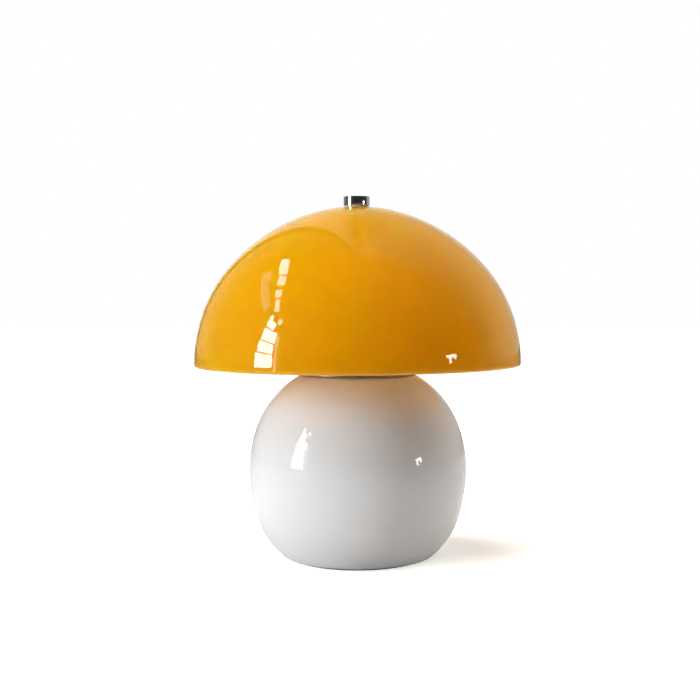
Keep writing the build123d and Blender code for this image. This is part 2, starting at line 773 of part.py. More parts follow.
with BuildPart() as seat_ring:
    add(ring(land_in_z - seat_ring_t, seat_ring_r, stud_r + screw_air, seat_ring_t))
seat_ring.part.label = "seat_ring"
export_step(seat_ring.part, "parts/seat_ring.step")

# Shade: an even wall, a rounded rim, and a ground flat on each side of the crown hole
crown_end = degrees(acos(land_out_r / crown_arc))
crown_in_end = degrees(acos(land_in_r / crown_in_arc))
with BuildPart() as shade:
    with BuildSketch(Plane.XZ) as shade_profile:
        with BuildLine():
            for wall, end in ((0, crown_end), (shade_wall, crown_in_end)):
                CenterArc((brow_c, belly_z), brow_arc - wall, 0, brow_turn)
                CenterArc((temple_cx, temple_cz), temple_arc - wall, brow_turn, crown_turn - brow_turn)
                CenterArc((0, crown_cz), crown_arc - wall, crown_turn, end - crown_turn)
            Polyline(
                (shade_r, belly_z),
                (shade_r, shade_foot_z),
                (shade_r - shade_wall, shade_foot_z),
                (shade_r - shade_wall, belly_z),
            )
            Polyline(
                (land_out_r, land_out_z),
                (shade_hole_r, land_out_z),
                (shade_hole_r, land_in_z),
                (land_in_r, land_in_z),
            )
        make_face()
        rim = shade_profile.vertices()
        fillet(rim.sort_by_distance((shade_r, shade_foot_z))[0], rim_round_out)
        fillet(rim.sort_by_distance((shade_r - shade_wall, shade_foot_z))[0], rim_round_in)
    revolve(axis=Axis.Z)
shade.part.label = "shade"
export_step(shade.part, "parts/shade.step")

# Bush that keeps the stud off the edge of the glass
with BuildPart() as shade_bush:
    bush_r = shade_hole_r - thread_air
    add(ring(land_in_z, bush_r, bush_r - bush_wall, land_out_z - land_in_z))
shade_bush.part.label = "shade_bush"
export_step(shade_bush.part, "parts/shade_bush.step")

# Finial and the washer under it
with BuildPart() as finial_washer:
    add(ring(land_out_z, finial_washer_r, stud_r + screw_air, finial_washer_t))
finial_washer.part.label = "finial_washer"
export_step(finial_washer.part, "parts/finial_washer.step")

with BuildPart() as finial:
    with BuildSketch(Plane.XY.offset(finial_z)):
        Circle(finial_r)
    extrude(amount=finial_h)
    chamfer(finial.edges(), finial_chamfer)
    with BuildSketch(Plane.XY.offset(finial_z)):
        Circle(stud_r + thread_air)
    extrude(amount=finial_h - finial_cover, mode=Mode.SUBTRACT)
finial.part.label = "finial"
export_step(finial.part, "parts/finial.step")

print("height", round(finial_z + finial_h, 2), "width", 2 * shade_r)
print("globe middle", round(globe_z, 2), "neck", round(neck_z, 2), "mouth radius", round(neck_in_r, 2))
print("shade foot", round(shade_foot_z, 2), "lands", round(land_in_z, 2), round(land_out_z, 2))
print("hoop top", round(hoop_top, 2), "bulb", round(tip_z, 2), "to", round(ball_z + bulb_r, 2))
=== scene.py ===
import math
import bpy
from mathutils import Matrix, Vector


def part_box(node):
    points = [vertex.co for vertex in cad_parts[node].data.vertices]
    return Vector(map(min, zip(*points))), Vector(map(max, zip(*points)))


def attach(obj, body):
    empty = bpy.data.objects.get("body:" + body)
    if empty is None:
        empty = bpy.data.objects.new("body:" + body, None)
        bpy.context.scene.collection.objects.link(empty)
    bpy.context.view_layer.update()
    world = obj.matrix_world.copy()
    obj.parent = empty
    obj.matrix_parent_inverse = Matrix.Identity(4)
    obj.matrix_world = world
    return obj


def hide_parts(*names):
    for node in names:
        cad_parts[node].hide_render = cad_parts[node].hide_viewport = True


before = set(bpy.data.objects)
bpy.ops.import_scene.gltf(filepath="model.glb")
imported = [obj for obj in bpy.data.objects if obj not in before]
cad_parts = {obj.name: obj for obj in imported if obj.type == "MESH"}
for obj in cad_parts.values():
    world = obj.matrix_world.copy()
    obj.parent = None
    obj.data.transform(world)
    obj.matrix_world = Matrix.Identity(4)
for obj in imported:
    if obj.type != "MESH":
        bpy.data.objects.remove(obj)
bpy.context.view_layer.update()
scene = bpy.context.scene
scene.view_settings.view_transform = "Standard"
mm = 0.001
print("frame loaded:", len(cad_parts), "nodes")

# Camera, from a fit of the two outlines
cameraPlace = {"at": (-0.0054, -1.06, 0.2126), "down": 2.77, "roll": 0.3, "lens": 70.87}
bpy.ops.object.camera_add(
    location=cameraPlace["at"], rotation=(math.radians(90 - cameraPlace["down"]), math.radians(cameraPlace["roll"]), 0)
)
scene.camera = bpy.context.object
scene.camera.data.lens = cameraPlace["lens"]
scene.camera.data.dof.use_dof = False


# Helpers that work as one would by hand
def deselectAll():
    if bpy.context.object and bpy.context.object.mode != "OBJECT":
        bpy.ops.object.mode_set(mode="OBJECT")
    bpy.ops.object.select_all(action="DESELECT")


def pick(*pieces):
    deselectAll()
    for piece in pieces:
        piece.select_set(True)
    bpy.context.view_layer.objects.active = pieces[0]
    return pieces[0]


def lowOf(node):
    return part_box(node)[0].z


def highOf(node):
    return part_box(node)[1].z


def arc(centre, radius, start, end, count):
    # points of an arc in the drawing of a turned piece, angles in degrees from level
    points = []
    for step in range(count + 1):
        angle = math.radians(start + (end - start) * step / count)
        points.append((centre[0] + radius * math.cos(angle), centre[1] + radius * math.sin(angle)))
    return points


def rounded(corners, steps=5):
    # (r, z, radius) corners of a closed outline; each corner with a radius becomes a small arc
    points = []
    for index, (r, z, radius) in enumerate(corners):
        here = Vector((r, z))
        if radius <= 0:
            points.append((r, z))
            continue
        before = Vector(corners[index - 1][:2]) - here
        after = Vector(corners[(index + 1) % len(corners)][:2]) - here
        half = before.angle(after) / 2
        reach = radius / math.tan(half)
        middle = here + (before.normalized() + after.normalized()).normalized() * (radius / math.sin(half))
        start = here + before.normalized() * reach - middle
        end = here + after.normalized() * reach - middle
        turn = start.angle_signed(end)
        for step in range(steps + 1):
            swung = start.copy()
            swung.rotate(Matrix.Rotation(-turn * step / steps, 2))
            points.append(tuple(middle + swung))
    return points


def drawOutline(name, points):
    # one vertex, extruded from point to point in the XZ plane and closed on itself
    deselectAll()
    bpy.ops.mesh.primitive_plane_add(size=mm)
    piece = bpy.context.object
    piece.name = piece.data.name = name
    bpy.ops.object.mode_set(mode="EDIT")
    bpy.ops.mesh.merge(type="CENTER")
    bpy.ops.transform.translate(value=(points[0][0], 0, points[0][1]))
    for here, there in zip(points, points[1:] + points[:1]):
        step = (there[0] - here[0], 0, there[1] - here[1])
        bpy.ops.mesh.extrude_region_move(TRANSFORM_OT_translate={"value": step})
    bpy.ops.mesh.select_all(action="SELECT")
    bpy.ops.mesh.remove_doubles(threshold=mergeGap)
    return piece


mergeGap = 2e-6
smoothUnder = math.radians(32)


def closeUp(piece):
    # merges seams and poles, then turns the faces outwards
    bpy.ops.mesh.select_all(action="SELECT")
    bpy.ops.mesh.remove_doubles(threshold=mergeGap)
    bpy.ops.mesh.delete_loose(use_faces=False)
    bpy.ops.mesh.select_all(action="SELECT")
    bpy.ops.mesh.normals_make_consistent(inside=False)
    bpy.ops.object.mode_set(mode="OBJECT")
    bpy.ops.object.shade_smooth_by_angle(angle=smoothUnder)
    return piece


def turnPiece(name, points, segments=96):
    # a turned piece: its outline spun round the lamp's axis
    piece = drawOutline(name, points)
    bpy.ops.mesh.select_all(action="SELECT")
    bpy.ops.mesh.spin(steps=segments, angle=math.tau, center=(0, 0, 0), axis=(0, 0, 1))
    return closeUp(piece)


def useModifier(piece, kind, **values):
    pick(piece)
    step = piece.modifiers.new(kind.lower(), kind)
    for key, value in values.items():
        setattr(step, key, value)
    bpy.ops.object.modifier_apply(modifier=step.name)
    return piece


def cutWith(piece, tool, keep="DIFFERENCE"):
    # takes the tool's shape out of the piece, or keeps what they share
    useModifier(piece, "BOOLEAN", object=tool, operation=keep, solver="EXACT")
    bpy.data.objects.remove(tool)
    pick(piece)
    bpy.ops.object.mode_set(mode="EDIT")
    return closeUp(piece)


def peg(name, radius, low, high, at=(0, 0), sides=48):
    # a plain round or many-sided cutter that stands upright
    deselectAll()
    bpy.ops.mesh.primitive_cylinder_add(
        vertices=sides, radius=radius, depth=high - low, location=(at[0], at[1], (low + high) / 2)
    )
    bpy.ops.object.transform_apply(location=True, rotation=True, scale=True)
    bpy.context.object.name = name
    return bpy.context.object


def copyTo(piece, moves, name):
    # copies with their own mesh, one at each place, joined with the first
    copies = [piece]
    for place in moves:
        pick(piece)
        bpy.ops.object.duplicate(linked=False)
        bpy.ops.transform.translate(value=place)
        bpy.ops.object.transform_apply(location=True, rotation=True, scale=True)
        copies.append(bpy.context.object)
    pick(*copies)
    bpy.ops.object.join()
    bpy.context.object.name = name
    return bpy.context.object


def threadRod(name, rootR, crestR, pitch, low, high, crest=0.15, steps=40):
    # a screw thread: one turn of its outline, run up the axis and cut flat at both ends
    tip, valley = crest * pitch, (0.5 - crest / 2) * pitch
    ridge = [(rootR, 0), (rootR, valley - tip), (crestR, valley), (crestR, valley + tip), (rootR, valley + 2 * tip)]
    ridge[1] = (rootR, max(valley - (crestR - rootR) * 0.6, 0.05 * pitch))
    ridge[4] = (rootR, min(valley + tip + (crestR - rootR) * 0.6, 0.95 * pitch))
    ridge.append((rootR, pitch))
    turns = math.ceil((high - low) / pitch) + 2
    deselectAll()
    bpy.ops.mesh.primitive_plane_add(size=mm)
    piece = bpy.context.object
    piece.name = piece.data.name = name
    bpy.ops.object.mode_set(mode="EDIT")
    bpy.ops.mesh.merge(type="CENTER")
    bpy.ops.transform.translate(value=(ridge[0][0], 0, low - pitch))
    for here, there in zip(ridge, ridge[1:]):
        step = (there[0] - here[0], 0, there[1] - here[1])
        bpy.ops.mesh.extrude_region_move(TRANSFORM_OT_translate={"value": step})
    bpy.ops.object.mode_set(mode="OBJECT")
    useModifier(piece, "SCREW", angle=math.tau, screw_offset=pitch, iterations=turns, steps=steps, render_steps=steps)
    bpy.ops.object.mode_set(mode="EDIT")
    bpy.ops.mesh.select_all(action="SELECT")
    bpy.ops.mesh.remove_doubles(threshold=mergeGap)
    for height, outer in ((low, False), (high, True)):
        bpy.ops.mesh.select_all(action="SELECT")
        bpy.ops.mesh.bisect(
            plane_co=(0, 0, height), plane_no=(0, 0, 1), use_fill=True, clear_outer=outer, clear_inner=not outer
        )
    return closeUp(piece)


def hexNut(name, flats, boreR, low, high):
    # a nut with its corners chamfered at both ends
    nut = peg(name, flats / 2 / math.cos(math.pi / 6), low, high, sides=6)
    pick(nut)
    corner, reach, sink = flats / 2 / math.cos(math.pi / 6), flats / 2 * 0.97, flats * 0.05
    cone = turnPiece(
        "nutCone",
        [(0, low), (reach, low), (corner, low + sink), (corner, high - sink), (reach, high), (0, high)],
        segments=48,
    )
    cutWith(nut, cone, "INTERSECT")
    lead = boreR * 1.12
    bore = turnPiece(
        "nutBore",
        [(0, low - mm), (lead, low - mm), (lead, low), (boreR, low + lead - boreR), (boreR, high - lead + boreR),
         (lead, high), (lead, high + mm), (0, high + mm)],
        segments=40,
    )
    return cutWith(nut, bore)


def dress(piece, finish, body, slot, *nodes):
    # gives a finished piece its finish, its body and the CAD nodes that it stands for
    piece.data.materials.clear()
    piece.data.materials.append(finish)
    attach(piece, body)
    if nodes:
        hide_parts(*nodes)
    return piece


# Finishes
def addNode(finish, kind, **values):
    node = finish.node_tree.nodes.new("ShaderNode" + kind)
    for key, value in values.items():
        if key in node.inputs:
            node.inputs[key].default_value = value
        else:
            setattr(node, key, value)
    return node


def join(finish, fromSocket, toSocket):
    finish.node_tree.links.new(fromSocket, toSocket)


def startFinish(name, look):
    # a finish with uneven colour, roughness and relief; look holds its sizes in turns per metre
    finish = bpy.data.materials.new(name)
    finish.use_nodes = True
    shader = finish.node_tree.nodes["Principled BSDF"]
    for key, value in look.get("shader", {}).items():
        shader.inputs[key].default_value = value
    place = addNode(finish, "TexCoord")
    spread = addNode(finish, "Mapping")
    spread.inputs["Scale"].default_value = look.get("stretch", (1, 1, 1))
    join(finish, place.outputs["Object"], spread.inputs["Vector"])

    def noise(scale, detail=3.0):
        cloud = addNode(finish, "TexNoise", Scale=scale, Detail=detail)
        join(finish, spread.outputs["Vector"], cloud.inputs["Vector"])
        return cloud.outputs["Fac"]

    def between(source, low, high, fromLow=0.3, fromHigh=0.7):
        ranged = addNode(finish, "MapRange")
        for key, value in (("From Min", fromLow), ("From Max", fromHigh), ("To Min", low), ("To Max", high)):
            ranged.inputs[key].default_value = value
        join(finish, source, ranged.inputs["Value"])
        return ranged.outputs["Result"]

    blend = addNode(finish, "Mix", data_type="RGBA")
    blend.inputs[6].default_value = (*look["colour"], 1)
    blend.inputs[7].default_value = (*look["patch"], 1)
    join(finish, between(noise(look["patchScale"], 4.0), 0, 1), blend.inputs[0])
    join(finish, blend.outputs[2], shader.inputs["Base Color"])
    join(finish, between(noise(look["roughScale"]), *look["rough"]), shader.inputs["Roughness"])

    relief = noise(look["reliefScale"], 2.0)
    if look.get("pattern") == "pores":
        pores = addNode(finish, "TexVoronoi", Scale=look["reliefScale"])
        join(finish, spread.outputs["Vector"], pores.inputs["Vector"])
        relief = pores.outputs["Distance"]
    if look.get("pattern") == "rings":
        rings = addNode(finish, "TexWave", Scale=look["ringScale"], Distortion=0.4, wave_type="RINGS")
        rings.rings_direction = "Z"
        join(finish, spread.outputs["Vector"], rings.inputs["Vector"])
        relief = rings.outputs["Fac"]
    if look.get("pattern") == "strokes":
        strokes = addNode(finish, "TexWave", Scale=look["ringScale"], Distortion=1.5, wave_type="BANDS")
        strokes.bands_direction = "Z"
        join(finish, spread.outputs["Vector"], strokes.inputs["Vector"])
        relief = strokes.outputs["Fac"]
    bump = addNode(finish, "Bump", Strength=look["relief"], Distance=look["reliefDepth"])
    join(finish, relief, bump.inputs["Height"])
    join(finish, bump.outputs["Normal"], shader.inputs["Normal"])
    if "Coat Weight" in look.get("shader", {}):
        join(finish, bump.outputs["Normal"], shader.inputs["Coat Normal"])
    return finish


amberGlass = startFinish("amberGlass", {
    "colour": (0.995, 0.40, 0.0), "patch": (0.99, 0.37, 0.0), "patchScale": 14,
    "rough": (0.50, 0.62), "roughScale": 60, "relief": 0.25, "reliefScale": 22, "reliefDepth": 0.0006,
    "shader": {"IOR": 1.1, "Specular IOR Level": 0.0, "Transmission Weight": 0.35, "Coat Weight": 1.0,
               "Coat Roughness": 0.02, "Coat IOR": 1.45, "Subsurface Weight": 1.0,
               "Subsurface Radius": (1.0, 0.4, 0.02), "Subsurface Scale": 0.02},
})
goldCasing = startFinish("goldCasing", {
    "colour": (0.985, 0.72, 0.27), "patch": (0.98, 0.69, 0.24), "patchScale": 16,
    "rough": (0.10, 0.16), "roughScale": 60, "relief": 0.25, "reliefScale": 22, "reliefDepth": 0.0006,
    "shader": {"IOR": 1.4, "Transmission Weight": 0.45, "Subsurface Weight": 1.0,
               "Subsurface Radius": (1.0, 0.6, 0.2), "Subsurface Scale": 0.008},
})
opalGlass = startFinish("opalGlass", {
    "colour": (0.705, 0.715, 0.735), "patch": (0.685, 0.695, 0.715), "patchScale": 18,
    "rough": (0.02, 0.05), "roughScale": 60, "relief": 0.25, "reliefScale": 26, "reliefDepth": 0.0005,
    "shader": {"IOR": 1.5, "Specular IOR Level": 0.38, "Subsurface Weight": 0.25, "Subsurface Radius": (1.0, 0.95, 0.9),
               "Subsurface Scale": 0.012},
})
polishedChrome = startFinish("polishedChrome", {
    "colour": (0.80, 0.81, 0.82), "patch": (0.74, 0.75, 0.77), "patchScale": 260,
    "rough": (0.03, 0.09), "roughScale": 900, "relief": 0.08, "reliefScale": 1400, "reliefDepth": 0.00005,
    "shader": {"Metallic": 1.0},
})
spunChrome = startFinish("spunChrome", {
    "colour": (0.78, 0.79, 0.80), "patch": (0.70, 0.71, 0.73), "patchScale": 200,
    "rough": (0.10, 0.20), "roughScale": 700, "relief": 0.12, "reliefScale": 900, "reliefDepth": 0.00006,
    "pattern": "rings", "ringScale": 260,
    "shader": {"Metallic": 1.0},
})
# painted shade and painted reflection: this chrome is coloured dark brown to stand for the shade under the shade's rim
# and the amber inside that it reflects
paintedShadeChrome = startFinish("paintedShadeChrome", {
    "colour": (0.30, 0.21, 0.135), "patch": (0.24, 0.165, 0.105), "patchScale": 200,
    "rough": (0.26, 0.38), "roughScale": 700, "relief": 0.12, "reliefScale": 900, "reliefDepth": 0.00006,
    "pattern": "rings", "ringScale": 260,
    "shader": {"Metallic": 1.0},
})
zincPlate = startFinish("zincPlate", {
    "colour": (0.62, 0.63, 0.65), "patch": (0.52, 0.53, 0.56), "patchScale": 420,
    "rough": (0.28, 0.45), "roughScale": 800, "relief": 0.2, "reliefScale": 1500, "reliefDepth": 0.00006,
    "shader": {"Metallic": 1.0},
})
footFoam = startFinish("footFoam", {
    "colour": (0.035, 0.035, 0.036), "patch": (0.055, 0.054, 0.053), "patchScale": 300,
    "rough": (0.82, 0.95), "roughScale": 500, "relief": 0.6, "reliefScale": 1100, "reliefDepth": 0.0003,
    "pattern": "pores",
})
blackRubber = startFinish("blackRubber", {
    "colour": (0.028, 0.028, 0.029), "patch": (0.042, 0.041, 0.04), "patchScale": 240,
    "rough": (0.45, 0.62), "roughScale": 600, "relief": 0.25, "reliefScale": 1600, "reliefDepth": 0.00006,
})
clearSilicone = startFinish("clearSilicone", {
    "colour": (0.80, 0.80, 0.78), "patch": (0.74, 0.74, 0.71), "patchScale": 180,
    "rough": (0.30, 0.45), "roughScale": 500, "relief": 0.15, "reliefScale": 700, "reliefDepth": 0.00008,
    "shader": {"IOR": 1.41, "Subsurface Weight": 0.4, "Subsurface Radius": (1.0, 1.0, 0.9),
               "Subsurface Scale": 0.002},
})
whitePlastic = startFinish("whitePlastic", {
    "colour": (0.80, 0.80, 0.78), "patch": (0.76, 0.755, 0.73), "patchScale": 120,
    "rough": (0.28, 0.42), "roughScale": 400, "relief": 0.12, "reliefScale": 1300, "reliefDepth": 0.00005,
})
blackPlastic = startFinish("blackPlastic", {
    "colour": (0.03, 0.03, 0.031), "patch": (0.045, 0.044, 0.043), "patchScale": 160,
    "rough": (0.15, 0.30), "roughScale": 500, "relief": 0.12, "reliefScale": 1300, "reliefDepth": 0.00005,
})
creamCeramic = startFinish("creamCeramic", {
    "colour": (0.75, 0.73, 0.68), "patch": (0.69, 0.66, 0.60), "patchScale": 260,
    "rough": (0.35, 0.55), "roughScale": 500, "relief": 0.25, "reliefScale": 900, "reliefDepth": 0.00008,
})
brightBrass = startFinish("brightBrass", {
    "colour": (0.78, 0.60, 0.28), "patch": (0.66, 0.48, 0.20), "patchScale": 300,
    "rough": (0.18, 0.34), "roughScale": 700, "relief": 0.15, "reliefScale": 1400, "reliefDepth": 0.00005,
    "shader": {"Metallic": 1.0},
})
nickelPlate = startFinish("nickelPlate", {
    "colour": (0.70, 0.69, 0.66), "patch": (0.62, 0.61, 0.57), "patchScale": 260,
    "rough": (0.16, 0.30), "roughScale": 700, "relief": 0.12, "reliefScale": 1200, "reliefDepth": 0.00005,
    "shader": {"Metallic": 1.0},
})
softSolder = startFinish("softSolder", {
    "colour": (0.55, 0.55, 0.56), "patch": (0.40, 0.40, 0.41), "patchScale": 700,
    "rough": (0.25, 0.5), "roughScale": 900, "relief": 0.5, "reliefScale": 800, "reliefDepth": 0.0002,
    "shader": {"Metallic": 1.0},
})
opalDiffuser = startFinish("opalDiffuser", {
    "colour": (0.88, 0.88, 0.86), "patch": (0.85, 0.85, 0.82), "patchScale": 90,
    "rough": (0.10, 0.18), "roughScale": 300, "relief": 0.08, "reliefScale": 500, "reliefDepth": 0.00005,
    "shader": {"Subsurface Weight": 0.4, "Subsurface Radius": (1.0, 1.0, 0.95), "Subsurface Scale": 0.004},
})
brownInsulation = startFinish("brownInsulation", {
    "colour": (0.16, 0.07, 0.03), "patch": (0.12, 0.05, 0.022), "patchScale": 200,
    "rough": (0.30, 0.45), "roughScale": 500, "relief": 0.15, "reliefScale": 900, "reliefDepth": 0.00005,
})
blueInsulation = startFinish("blueInsulation", {
    "colour": (0.03, 0.12, 0.40), "patch": (0.024, 0.095, 0.33), "patchScale": 200,
    "rough": (0.30, 0.45), "roughScale": 500, "relief": 0.15, "reliefScale": 900, "reliefDepth": 0.00005,
})
print("finishes made")

# Shade: the blown dome, an even wall with a rounded rim and a ground land round its crown hole
shadeShape = {
    "radius": 125.0, "wall": 3.2, "browArc": 111.8, "browTurn": 40.8, "crownArc": 119.9, "crownTurn": 74.2,
    "rimToBelly": 2.6, "roundOut": 1.2, "roundIn": 1.0, "landOut": 11.0, "landIn": 11.5, "hole": 5.5,
    "landRound": 0.35, "segments": 160, "waver": 0.10, "waverSize": 0.045,
}


def domeSide(shape, belly, wall):
    # the three tangent arcs from the belly up to the crown
    r = {key: value * mm for key, value in shape.items() if key.endswith("Arc") or key == "radius"}
    low, high = math.radians(shape["browTurn"]), math.radians(shape["crownTurn"])
    brow = r["radius"] - r["browArc"]
    temple = (brow + r["browArc"] * math.cos(low) - r["crownArc"] * math.cos(high)) / (math.cos(low) - math.cos(high))
    templeAt = (brow + (r["browArc"] - temple) * math.cos(low), belly + (r["browArc"] - temple) * math.sin(low))
    crownAt = (0, templeAt[1] + (temple - r["crownArc"]) * math.sin(high))
    land = (shape["landIn"] if wall else shape["landOut"]) * mm
    end = math.degrees(math.acos(land / (r["crownArc"] - wall)))
    side = arc((brow, belly), r["browArc"] - wall, 0, shape["browTurn"], 26)
    side += arc(templeAt, temple - wall, shape["browTurn"], shape["crownTurn"], 30)[1:]
    side += arc(crownAt, r["crownArc"] - wall, shape["crownTurn"], end, 12)[1:]
    return side


def buildShade(shape):
    foot = lowOf("shade")
    belly = foot + shape["rimToBelly"] * mm
    edge, inner = shape["radius"] * mm, (shape["radius"] - shape["wall"]) * mm
    outside = domeSide(shape, belly, 0)
    inside = domeSide(shape, belly, shape["wall"] * mm)
    top, under = outside[-1][1], inside[-1][1]
    bit, hole = shape["landRound"] * mm, shape["hole"] * mm
    land = [(hole + bit, top), (hole, top - bit), (hole, under + bit), (hole + bit, under)]
    rim = rounded([(inner, foot + 2 * mm, 0), (inner, foot, shape["roundIn"] * mm), (edge, foot, shape["roundOut"] * mm),
                   (edge, foot + 2.4 * mm, 0)], steps=6)
    points = outside + land + inside[::-1] + rim[:-1]
    return turnPiece("shadeGlass", points, shape["segments"])


def waver(piece, shape):
    # the slight unevenness of blown glass, only ever inwards
    cloud = bpy.data.textures.new(piece.name + "Waver", "CLOUDS")
    cloud.noise_scale = shape["waverSize"]
    useModifier(piece, "DISPLACE", texture=cloud, texture_coords="LOCAL", mid_level=1.0, strength=shape["waver"] * mm)
    bpy.ops.object.shade_smooth_by_angle(angle=smoothUnder)


shadeGlass = buildShade(shadeShape)
waver(shadeGlass, shadeShape)
dress(shadeGlass, amberGlass, "shade", "amber_glass", "shade")


def caseInside(piece, finish, shape):
    # the faces of the inner wall get the paler casing
    piece.data.materials.append(finish)
    inner = (shape["radius"] - shape["wall"] / 2) * mm
    deselectAll()
    for face in piece.data.polygons:
        outward = Vector((face.center.x, face.center.y, 0)).normalized()
        facesIn = face.normal.dot(outward) < -0.05 or (face.normal.z < -0.5 and face.center.z > highOf("neck_cap"))
        if facesIn and face.center.xy.length < inner and face.center.xy.length > shape["hole"] * 1.05 * mm:
            face.material_index = 1


caseInside(shadeGlass, goldCasing, shadeShape)
print("shade made")

# Globe: the blown opal base, ground flat at its neck, with its floor pushed up inside the foot
globeShape = {
    "radius": 83.5, "wall": 3.2, "shoulderArc": 92.8, "shoulderTurn": 23.1, "neckArc": 73.1, "neckR": 41.3,
    "flankArc": 126.2, "flankTurn": 17.2, "footArc": 62.5, "footR": 55.2, "footRound": 12.0, "footRing": 14.2,
    "footWall": 4.0, "kickSlope": 4.0, "kickSeat": 9.0, "kickRise": 8.5, "neckBevel": 0.4, "inletDrop": 26.0,
    "inletR": 6.1, "segments": 144, "waver": 0.08, "waverSize": 0.04,
}


def buildGlobe(shape):
    s = {key: value * mm for key, value in shape.items()}
    foot = lowOf("base_globe")
    kick = foot + s["kickRise"]
    flankC = s["radius"] - s["flankArc"]
    footX = flankC + (s["flankArc"] - s["footArc"]) * math.cos(math.radians(shape["flankTurn"]))
    footZ = foot + math.sqrt(s["footArc"] ** 2 - (s["footR"] - footX) ** 2)
    middle = footZ + (s["flankArc"] - s["footArc"]) * math.sin(math.radians(shape["flankTurn"]))
    shoulderC = s["radius"] - s["shoulderArc"]
    neckX = shoulderC + (s["shoulderArc"] - s["neckArc"]) * math.cos(math.radians(shape["shoulderTurn"]))
    neckZ = middle + (s["shoulderArc"] - s["neckArc"]) * math.sin(math.radians(shape["shoulderTurn"]))
    top = neckZ + math.sqrt(s["neckArc"] ** 2 - (s["neckR"] - neckX) ** 2)
    roundZ = foot + s["footRound"]
    roundX = footX + math.sqrt((s["footArc"] - s["footRound"]) ** 2 - (footZ - roundZ) ** 2)
    roundTurn = math.degrees(math.asin((footZ - roundZ) / (s["footArc"] - s["footRound"])))
    trough = foot + s["footWall"]

    outside = arc((roundX, roundZ), s["footRound"], -90, -roundTurn, 8)
    outside += arc((footX, footZ), s["footArc"], -roundTurn, -shape["flankTurn"], 12)[1:]
    outside += arc((flankC, middle), s["flankArc"], -shape["flankTurn"], 0, 12)[1:]
    outside += arc((shoulderC, middle), s["shoulderArc"], 0, shape["shoulderTurn"], 12)[1:]
    neckEnd = math.degrees(math.asin((top - s["neckBevel"] - neckZ) / s["neckArc"]))
    outside += arc((neckX, neckZ), s["neckArc"], shape["shoulderTurn"], neckEnd, 18)[1:]
    outside.append((s["neckR"] - s["neckBevel"], top))

    wall = s["wall"]
    neckIn = math.degrees(math.asin((top - neckZ) / (s["neckArc"] - wall)))
    footIn = math.degrees(math.asin((footZ - trough - wall) / (s["footArc"] - wall)))
    inside = arc((neckX, neckZ), s["neckArc"] - wall, neckIn, shape["shoulderTurn"], 18)
    inside += arc((shoulderC, middle), s["shoulderArc"] - wall, shape["shoulderTurn"], 0, 12)[1:]
    inside += arc((flankC, middle), s["flankArc"] - wall, 0, -shape["flankTurn"], 12)[1:]
    inside += arc((footX, footZ), s["footArc"] - wall, -shape["flankTurn"], -footIn, 12)[1:]

    kickOut = s["footR"] - s["footRing"]
    kickR = kickOut - s["kickSlope"]
    hole = kickR - s["kickSeat"]
    low = rounded([
        (inside[-1][0], trough + wall, 0), (inside[-1][0] - wall * 0.8, trough, wall * 0.8),
        (kickOut + s["footWall"], trough, wall), (kickR + s["footWall"], kick + wall, wall / 2),
        (hole, kick + wall, wall / 4), (hole, kick, wall / 4), (kickR, kick, wall / 4),
        (kickOut, foot, wall / 2), (roundX, foot, 0),
    ])
    return turnPiece("globeGlass", outside + inside + low[1:-1], shape["segments"]), (footX, footZ)


globeGlass, footCentre = buildGlobe(globeShape)
waver(globeGlass, globeShape)
drop = math.radians(globeShape["inletDrop"])
inletAt = Vector((
    0, footCentre[0] + globeShape["footArc"] * mm * math.cos(drop), footCentre[1] - globeShape["footArc"] * mm * math.sin(drop)
))
deselectAll()
bpy.ops.mesh.primitive_cylinder_add(
    vertices=64, radius=globeShape["inletR"] * mm, depth=16 * mm, location=inletAt, rotation=(math.pi / 2 - drop + math.pi, 0, 0)
)
bpy.ops.object.transform_apply(location=True, rotation=True, scale=True)
cutWith(globeGlass, bpy.context.object)
dress(globeGlass, opalGlass, "lamp", "opal_glass", "base_globe")
print("globe made")

# Finial: a plain turned cap, blind-bored for the stud, with the fine lip that turning leaves
finialShape = {"radius": 10.0, "bevel": 0.35, "bore": 3.05, "cover": 1.0, "lip": 0.12, "lipAt": 1.1}


def buildFinial(shape):
    low, high = lowOf("finial"), highOf("finial")
    r, bevel, bore = shape["radius"] * mm, shape["bevel"] * mm, shape["bore"] * mm
    lip, groove = shape["lip"] * mm, shape["lipAt"] * mm
    outline = [
        (0, high - lip, 0), (r - 3 * groove, high - lip, 0), (r - 2.6 * groove, high, 0), (r, high, bevel),
        (r, low, bevel), (bore + bevel, low, 0), (bore, low + bevel, 0), (bore, high - shape["cover"] * mm, 0),
        (0, high - shape["cover"] * mm - bore * 0.3, 0),
    ]
    return turnPiece("finialCap", rounded(outline, steps=5), 128)


dress(buildFinial(finialShape), polishedChrome, "finial", "chrome", "finial")

washerShape = {"radius": 9.0, "bore": 3.15, "bevel": 0.2}
low, high = lowOf("finial_washer"), highOf("finial_washer")
finialWasher = turnPiece("finialWasher", rounded([
    (washerShape["radius"] * mm, low, washerShape["bevel"] * mm), (washerShape["radius"] * mm, high, washerShape["bevel"] * mm),
    (washerShape["bore"] * mm, high, washerShape["bevel"] * mm), (washerShape["bore"] * mm, low, washerShape["bevel"] * mm),
], steps=3))
dress(finialWasher, clearSilicone, "finial_washer", "clear_silicone", "finial_washer")


def turnRing(name, node, outer, bore, bevel, finish, body, slot):
    # a plain ring with softened edges, as high as its node
    low, high = lowOf(node), highOf(node)
    inner = min(bevel, bore / 2)
    ring = turnPiece(name, rounded([
        (outer * mm, low, bevel * mm), (outer * mm, high, bevel * mm), (bore * mm, high, inner * mm), (bore * mm, low, inner * mm),
    ], steps=4))
    return dress(ring, finish, body, slot, node)


